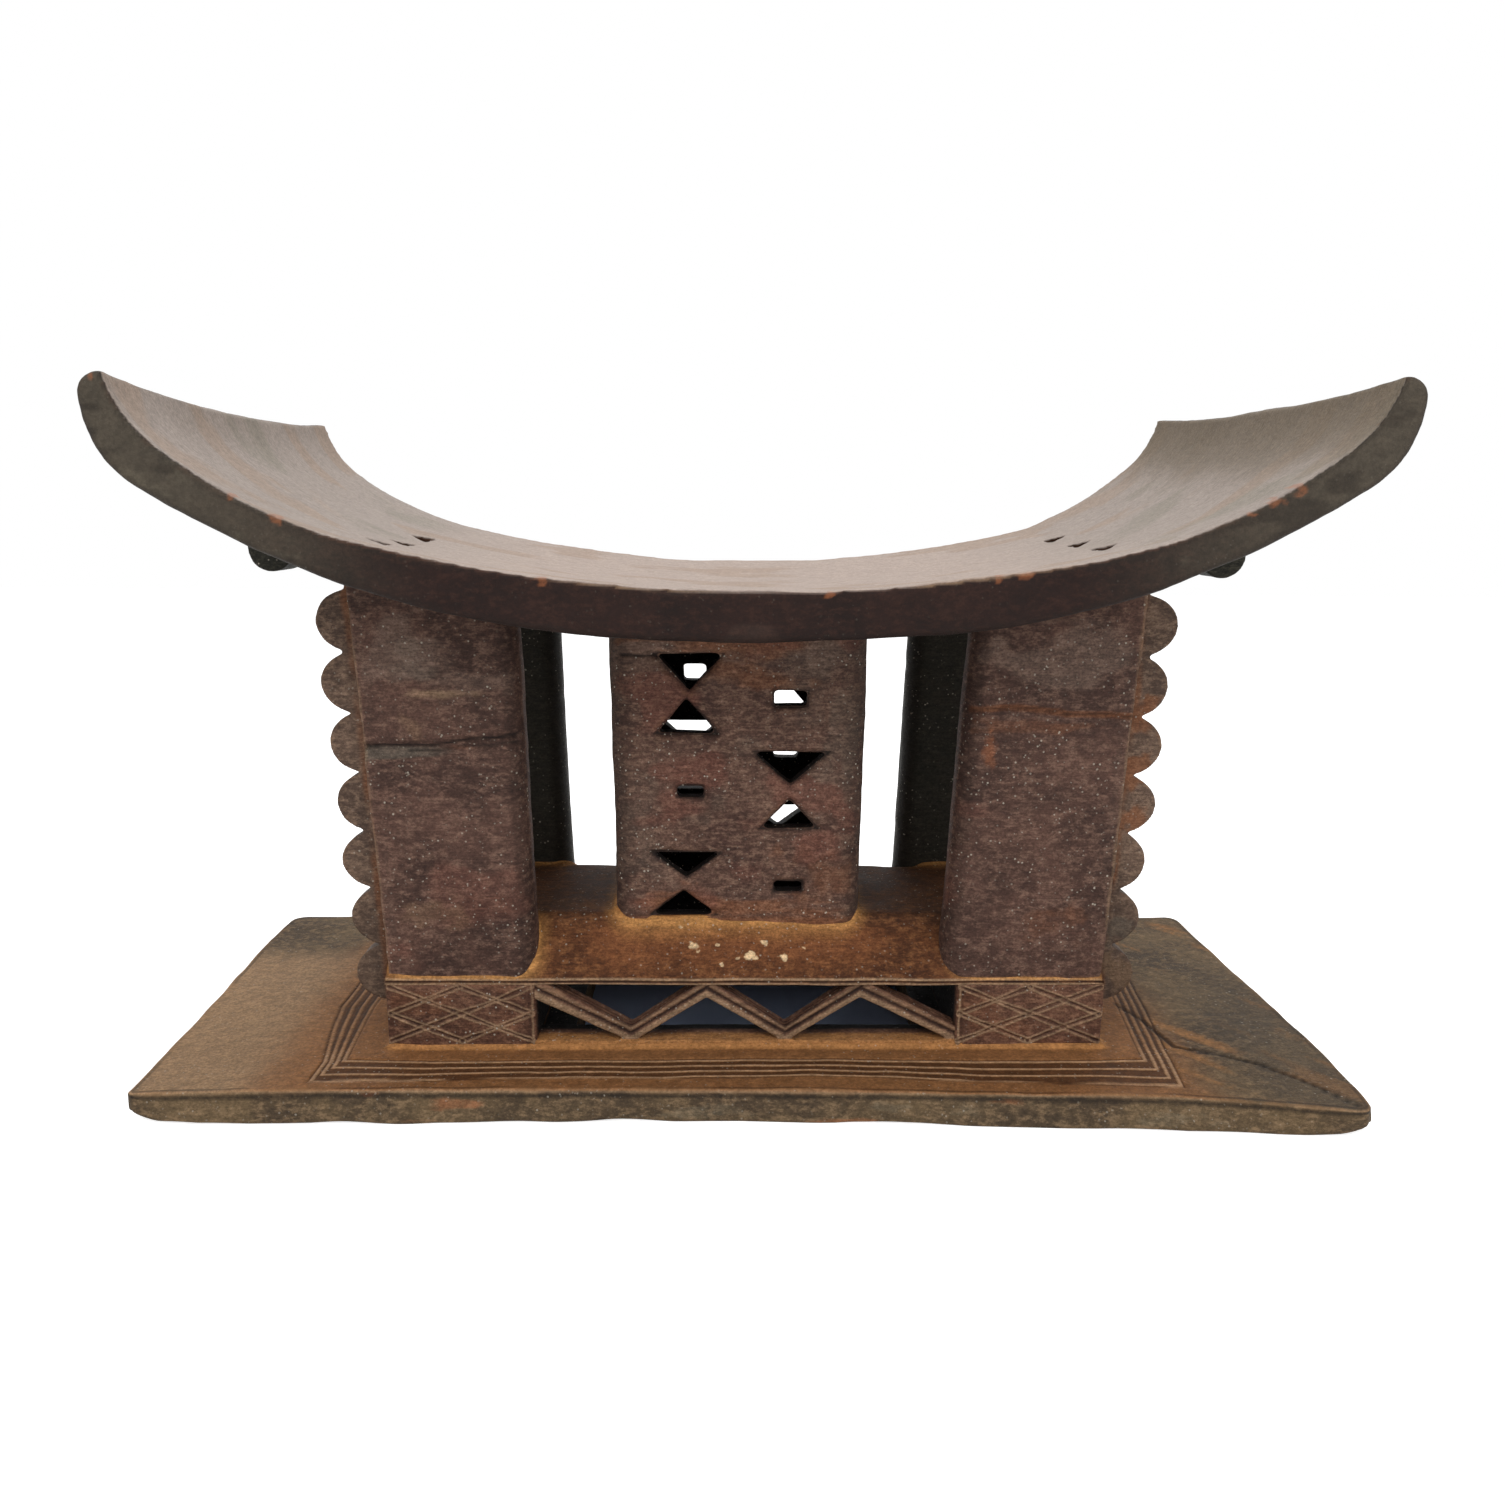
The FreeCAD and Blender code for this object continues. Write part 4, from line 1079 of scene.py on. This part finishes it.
# Where each row's notches were cut, from the near corner to the far one, and what shape they have.
NOTCH_CUTS = {-1: (-67.2, -57.2, -40.3, -20.2, 7.4, 28.5), 1: (-58.3, -34.6, -8.2, 12.3, 41.2, 58.7)}
NOTCH_SHIFTS = {-1: (1.2, 0.3, 3.0), 1: (-0.8, 1.8, 2.4)}
NOTCH_NARROWER = 0.22
NOTCH_LEAN = 5.3
NOTCH_DROP_SHARE = 0.42
NOTCH_WIDENING = 1.1
# Height of a point above the seat that its upper side faces.
SEAT_CENTRE_Z = 420


# Chips along the front edge of the seat: place across and half width.
ARRIS_CHIPS = (
    (-246, 2.5), (-199, 2.5), (-182, 3.5), (-83, 5), (29, 4), (95, 4), (105, 5),
    (191, 3), (200, 5), (208, 4), (235, 3),
)


def seat_rise(x, y):
    """Height of the seat's upper side near its notches, from any level."""
    return 0.291 * np.abs(x) + 5 * (y / SEAT_HIGH[1]) ** 2


def cut_notches(at):
    """Draws the even notches out to where they were cut: triangles that point to the seat's ends."""
    x, y, z = at.T
    new_x, new_y = x.copy(), y.copy()
    edge = SEAT_HIGH[1]
    for side in (-1, 1):
        outward = side * x - NOTCH_X
        share = fade(np.abs(outward), 12, 45)
        middles = NOTCH_MIDDLES[side]
        even = [middle + end for middle in middles for end in (-NOTCH_NEAR, NOTCH_FAR)]
        even = [-edge, *even, edge]
        at_near = np.interp(y, even, (0, 1, 0, 1, 0, 1, 0, 0))
        at_far = np.interp(y, even, (0, 0, 1, 0, 1, 0, 1, 0))
        tip = np.clip((outward + NOTCH_HALF) / (2 * NOTCH_HALF), 0, 1)
        cuts = np.array(NOTCH_CUTS[side])
        lengths = np.repeat(cuts[1::2] - cuts[::2], 2)
        drop = np.interp(y, even, [0, *lengths, 0]) * NOTCH_DROP_SHARE
        moved_y = np.interp(y, even, [-edge, *cuts, edge]) - drop * tip * at_far
        new_y += share * (moved_y - y)
        local = fade(np.abs(outward), 8, 30)
        shift = np.interp(y, even, [0, *np.repeat(NOTCH_SHIFTS[side], 2), 0])
        new_x += side * local * (shift - NOTCH_NARROWER * outward - NOTCH_LEAN * at_near)
    return np.column_stack([new_x, new_y, z + seat_rise(new_x, new_y) - seat_rise(x, y)])


def widen_notches(skin, upward):
    """Cuts the walls of the notches back, darkens them with painted shade and tints them orange."""
    x, y, _ = skin.at.T
    middles = [(side, middle) for side in (-1, 1) for middle in NOTCH_MIDDLES[side]]
    away = np.min([np.hypot(x - side * NOTCH_X, y - middle) for side, middle in middles], axis=0)
    notch = fade(away, 9, 11) * fade(upward, 0.4, 0.75) * ramp(upward, -0.7, -0.4)
    skin.push(-NOTCH_WIDENING * notch)
    # Painted shade on the notch walls, with an orange tint.
    for name, amount in (("dirt_and_shade", 1), ("orange", 1), ("dark", 0.25)):
        skin.mark(name, amount * notch)


def stain_seat(skin, upward):
    """Pale top, part wear and part painted reflection, darker towards the ends as painted shade, and dark
    faces with painted shade under the seat; both olive and dirty towards the ends, with worn edges in
    front.
    """
    x, y, _ = skin.at.T
    far = np.abs(x)
    top = ramp(upward, 0.55, 0.85)
    # The pale top is wear with a painted reflection on it; towards the ends it darkens as painted shade,
    # olive at the tips.
    skin.mark("top", top)
    skin.mark("side", top * ramp(far, 90, 200))
    skin.mark("tip", top * ramp(far + 0.06 * x, 198, 262))
    skin.mark("stain", top * skin.patches((48, 22, 48), 105, -0.1, 0.7, 3))
    skin.mark("green", top * ramp(far, 120, 200) * skin.patches((60, 40, 60), 107, -0.2, 0.6, 3))
    skin.mark("olive", (1 - top) * ramp(far, 120, 225))
    face = 1 - ramp(upward, 0.3, 0.6)
    end_face = face * ramp(far, 90, 200)
    skin.mark("patch", 0.45 * end_face * skin.patches((18, 18, 8), 109, 0.1, 0.9, 3))
    skin.mark("shadow", 0.9 * end_face * skin.patches((26, 20, 9), 113, 0.0, 0.7, 3))
    skin.mark("shadow", 0.8 * face * ramp(upward, -0.1, 0.25) * ramp(far, 60, 150))
    # Painted shade on the underside of the seat.
    skin.mark("dirt_and_shade", 0.7 * face * fade(upward, -0.6, -0.1))
    skin.mark("pale", 0.35 * face * fade(far, 60, 150) * skin.patches((30, 20, 8), 110, 0, 0.6))
    arris = groove(upward - 0.55, 0.22) * fade(y, -90, -60)
    skin.mark("dark", 0.7 * groove(upward - 0.7, 0.2) * fade(y, -90, -60) * ramp(far, 170, 215))
    skin.mark("rim", arris * fade(far, 150, 190))
    skin.mark("line", 0.6 * arris * fade(far, 60, 160) * skin.patches((26, 26, 26), 103, -0.3, 0.5))


def move_corners(skin, even):
    """Moves the seat's ends as they were carved; even is where the points were on the even seat."""
    x, y, _ = even.T
    row_share = (y + SEAT_HIGH[1]) / (2 * SEAT_HIGH[1])
    for side in (-1, 1):
        weight = ramp(np.abs(x), 130, 268) * ramp(side * x, 0, 30)
        front, back = SEAT_CORNER_MOVES[side, -1], SEAT_CORNER_MOVES[side, 1]
        skin.at[:, 0] += side * weight * (front[0] + (back[0] - front[0]) * row_share)
        skin.at[:, 2] += weight * (front[1] + (back[1] - front[1]) * row_share)


def make_seat():
    """Curved seat: pale and worn on top with a painted reflection, dark on its faces, rounded at its
    front and back edges.
    """
    skin = dense_copy("seat", 1.25)
    x, y, z = skin.at.T
    depth = SEAT_HIGH[1]
    to_centre = np.stack([-x, np.zeros(len(x)), SEAT_CENTRE_Z - z], axis=1)
    to_centre /= np.linalg.norm(to_centre, axis=1, keepdims=True)
    rim = ramp(np.abs(y), depth * 0.84, depth * 0.9)
    rim *= fade(np.einsum("ij,ij->i", skin.facing(), to_centre), -0.1, 0.5)
    skin.relax(18, 0.5 * rim)
    skin.push(0.4 * rim)
    skin.relax(5, 0.5 * fade(np.abs(x), 200, 225) * ramp(np.abs(y), depth - 8, depth - 4))
    carve(skin, 0.55, 101)
    upward = np.einsum("ij,ij->i", skin.facing(), to_centre)
    widen_notches(skin, upward)
    stain_seat(skin, upward)
    even = skin.at
    skin.at = cut_notches(even)
    move_corners(skin, even)
    for across, half in ARRIS_CHIPS:
        near_top = (np.abs(even[:, 0] - across) < 2) & (even[:, 1] < -110)
        height = even[near_top, 2].max() - 1.5
        tall = 1.6 + 0.4 * half * abs(across) / 250
        skin.spot("chip", (across, -119, height), (0.8 * half, 9, tall), 0.75)
    return skin


def make_lug(name):
    """Small round lug, its head up inside the seat."""
    low = node_box(name)[0]

    def reach(x, y, z):
        return x, y, z + 4 if z > low[2] + 12.5 else z

    skin = dense_copy(name, 0.9, reach)
    skin.relax(2)
    carve(skin, 0.4, 111)
    return skin


# How far the plinth, the slats and the column stand to the left of the even place.
UPPER_SHIFT = -1.3
COLUMN_SHIFT = -0.7
SIDE_WALL_VOXEL = 1.6
PIERCED_WALL_VOXEL = 0.95


# Marks and their tints, laid over each other in this order, as wood() takes them.
WORN_MARKS = (
    ("grey", (92, 86, 76), 0.6, 9), ("patch", (126, 118, 100), 0.7, 5),
    ("pale", (122, 102, 90), 0.45, 16), ("orange", (124, 76, 46), 0.6, 9),
    ("chip", (162, 98, 62), 0.6, 3), ("foot", (166, 116, 68), 0.8, 7),
)
# shade is painted shade on the back slats' front faces.
COMMON_MARKS = WORN_MARKS + (
    ("ruddy", (110, 70, 58), 0.55, 12), ("shade", (44, 43, 36), 0.93, 0),
    ("tan", (124, 98, 74), 0.6, 9), ("line", (156, 128, 100), 0.85, 0),
)
DECK_MARKS = COMMON_MARKS + (
    ("shadow", (66, 46, 32), 0.5, 20), ("glow", (184, 132, 76), 0.8, 0),
    ("drop", (220, 190, 148), 0.9, 2),
)
BASE_MARKS = (
    ("tan", (152, 122, 92), 0.85, 40), ("warm", (134, 90, 54), 0.85, 30),
    ("ochre", (148, 104, 62), 0.75, 12), ("shadow", (74, 64, 52), 0.6, 20),
    ("ditch", (70, 43, 24), 0.85, 6),
    *WORN_MARKS, ("line", (172, 138, 106), 0.85, 0),
)
# The seat's top tint is part wear and part painted reflection; side and tip darken it towards the ends as
# painted shade.
SEAT_MARKS = (
    ("top", (167, 151, 141), 1.0, 0), ("side", (150, 139, 131), 0.9, 0),
    ("stain", (150, 128, 110), 0.5, 16), ("green", (126, 121, 108), 0.5, 20),
    ("tip", (104, 92, 76), 0.9, 24), ("olive", (74, 67, 57), 0.9, 0),
    ("rim", (78, 54, 44), 0.5, 0), ("shadow", (36, 30, 25), 0.6, 6), *COMMON_MARKS,
)


def make_woods():
    """The wood of each kind of member."""
    return {
        "body": wood("body_wood", ((62, 44, 38), (86, 62, 53), (114, 89, 76)), COMMON_MARKS,
                     (132, 94, 66)),
        "column": wood("column_wood", ((72, 51, 44), (97, 72, 61), (126, 100, 84)), COMMON_MARKS,
                       (136, 98, 70), dust=1.0, contrast=0.38, shift=1.0),
        # The lugs under the seat are painted near black as shade.
        "lug": wood("shaded_wood", ((26, 25, 20), (40, 39, 32), (66, 63, 53)), COMMON_MARKS,
                    (66, 58, 48), dust=1.0, shift=2.0),
        "lobes": wood("lobe_wood", ((76, 60, 51), (102, 82, 69), (130, 107, 89)), COMMON_MARKS,
                      (130, 98, 70), dust=0.5, contrast=0.28, shift=3.0),
        "deck": wood("deck_wood", ((68, 39, 23), (96, 58, 34), (126, 84, 52)), DECK_MARKS,
                     (150, 98, 54), dust=0.6, shift=4.0),
        "base": wood("base_wood", ((70, 57, 43), (101, 83, 60), (128, 105, 79)), BASE_MARKS,
                     (136, 102, 70), shift=6.0, dust=0.45, contrast=0.26, grain=(6, 5, 1.4),
                     flecks=(1.5, 1.5, 1.1)),
        "openwork": wood("openwork_wood", ((72, 47, 37), (98, 68, 54), (122, 90, 70)), COMMON_MARKS,
                         (144, 112, 84), shift=8.0),
        "seat": wood("seat_wood", ((26, 14, 11), (35, 20, 16), (50, 32, 26)), SEAT_MARKS,
                     (92, 62, 44), dust=0.06, contrast=0.17, grain=(14, 1.1, 12), flecks=(1.6, 1.2, 1.6),
                     shift=10.0),
    }


def build_object():
    woods = make_woods()
    made = [(make_deck(), "deck")]
    for side, where in ((-1, "left"), (1, "right")):
        made.append((make_end("plinth_end_" + where, side), "openwork"))
        made.append((make_column_wall(f"column_{where}_wall", SIDE_WALL_VOXEL), "column"))
        for row, face in ((-1, "front"), (1, "back")):
            made.append((make_slat(f"slat_{face}_{where}", row, side), "body"))
            made.append((make_lobes(f"lobes_{face}_{where}", row, side), "lobes"))
    for turn, face in ((1, "front"), (-1, "back")):
        made.append((make_fret("fret_" + face, turn), "openwork"))
        made.append((make_column_wall(f"column_{face}_wall", PIERCED_WALL_VOXEL), "column"))
    for skin, kind in made:
        skin.at[:, 0] += COLUMN_SHIFT if kind == "column" else UPPER_SHIFT
        skin.done(woods[kind], "body")
    make_base().done(woods["base"], "base")
    make_seat().done(woods["seat"], "seat")
    for where in ("left", "right"):
        make_lug("seat_lug_" + where).done(woods["lug"], "body")


# The camera's place in millimetres, its angles in radians, and its focal length in widths of the image.
CAMERA_AT = (-9.9, -581.7, 264.8)
CAMERA_TURN = 0.020
CAMERA_DIP = 0.2077
CAMERA_ROLL = 0.0084
FOCAL_WIDTHS = 1184.3 / 1505


def make_camera():
    lens = bpy.data.cameras.new("camera")
    lens.sensor_width = 36.0
    lens.lens = FOCAL_WIDTHS * lens.sensor_width
    lens.clip_start = 0.01
    camera = bpy.data.objects.new("camera", lens)
    tilt = Matrix.Rotation(math.pi / 2 - CAMERA_DIP, 4, "X")
    spin = Matrix.Rotation(-CAMERA_TURN, 4, "Z")
    roll = Matrix.Rotation(CAMERA_ROLL, 4, "Z")
    camera.matrix_world = Matrix.Translation(Vector(CAMERA_AT) * MM) @ spin @ tilt @ roll
    bpy.context.scene.collection.objects.link(camera)
    bpy.context.scene.camera = camera


def make_lamp(name, place, width, power):
    """A soft square lamp that faces the stool."""
    light = bpy.data.lights.new(name, "AREA")
    light.size = width
    light.energy = power
    lamp = bpy.data.objects.new(name, light)
    lamp.location = place
    lamp.rotation_euler = (Vector((0, 0, 0.15)) - Vector(place)).to_track_quat("-Z", "Y").to_euler()
    bpy.context.scene.collection.objects.link(lamp)


def seen_directly(tree):
    """1 for rays from the camera, in reflections and through glass, and 0 for light on things."""
    path = add_node(tree, "ShaderNodeLightPath")
    total = path.outputs["Is Camera Ray"]
    for name in ("Is Glossy Ray", "Is Transmission Ray"):
        inputs = {0: total, 1: path.outputs[name]}
        total = add_node(tree, "ShaderNodeMath", inputs, operation="MAXIMUM").outputs[0]
    return total


# How strongly the white surround lights the stool, and the floor's own grey and glow.
AIR_STRENGTH = 0.55
WHITE = (1, 1, 1, 1)
FLOOR_GREY = (0.82, 0.82, 0.82, 1)
FLOOR_GLOW = (0.72, 0.72, 0.72, 1)
FLOOR_HALF = 3000
FLOOR_LEVEL = -0.3
# The shaded ground that shows through the plinth reaches this far past the well.
GROUND_LEVEL = -0.1
GROUND_SPARE = 8
# Lamps: place and width in metres, and power in watts.
LAMPS = {
    "key": ((-0.7, -1.3, 1.5), 1.2, 16),
    "fill": ((1.0, -1.3, 0.9), 1.2, 9),
    "top": ((0.1, 0.5, 1.6), 1.4, 12),
}


def make_surround():
    """A white world that lights the stool less strongly than it looks."""
    world = bpy.data.worlds.new("world")
    bpy.context.scene.world = world
    world.use_nodes = True
    tree = world.node_tree
    inputs = {"Factor": seen_directly(tree), "A": AIR_STRENGTH, "B": 1.0}
    strength = add_node(tree, "ShaderNodeMix", inputs, data_type="FLOAT").outputs["Result"]
    back = tree.nodes["Background"]
    tree.links.new(strength, back.inputs["Strength"])
    back.inputs["Color"].default_value = WHITE


def paper():
    """Pale floor that looks white and keeps the shadow."""
    material = bpy.data.materials.new("paper")
    material.use_nodes = True
    tree = material.node_tree
    tree.nodes.clear()
    diffuse = add_node(tree, "ShaderNodeBsdfDiffuse", {"Color": FLOOR_GREY})
    glow = add_node(tree, "ShaderNodeEmission", {"Color": FLOOR_GLOW, "Strength": seen_directly(tree)})
    both = add_node(tree, "ShaderNodeAddShader", {0: diffuse.outputs[0], 1: glow.outputs[0]})
    add_node(tree, "ShaderNodeOutputMaterial", {"Surface": both.outputs[0]})
    return material


def shaded_ground():
    """Blue grey ground in the shade under the stool."""
    paint = Paint("shaded_ground")
    tone = paint.mix(paint.noise((60, 60, 60)), srgb((142, 158, 190)), srgb((176, 188, 212)))
    return paint.finish(tone, 0.9, paint.height((paint.noise((3, 3, 3)), 0.1)), 0.1)


def make_plane(name, half_x, half_y, height, material):
    mesh = bpy.data.meshes.new(name)
    turns = ((-1, -1), (1, -1), (1, 1), (-1, 1))
    corners = [(turn_x * half_x * MM, turn_y * half_y * MM, height * MM) for turn_x, turn_y in turns]
    mesh.from_pydata(corners, [], [(0, 1, 2, 3)])
    mesh.materials.append(material)
    plane = bpy.data.objects.new(name, mesh)
    bpy.context.scene.collection.objects.link(plane)


def make_stage():
    make_surround()
    make_plane("floor", FLOOR_HALF, FLOOR_HALF, FLOOR_LEVEL, paper())
    half_x, half_y = WELL_HALF_X + GROUND_SPARE, WELL_HALF_Y + GROUND_SPARE
    make_plane("ground", half_x, half_y, GROUND_LEVEL, shaded_ground())
    for name, (place, width, power) in LAMPS.items():
        make_lamp(name, place, width, power)


build_object()
make_stage()
make_camera()
bpy.context.scene.view_settings.view_transform = "Standard"
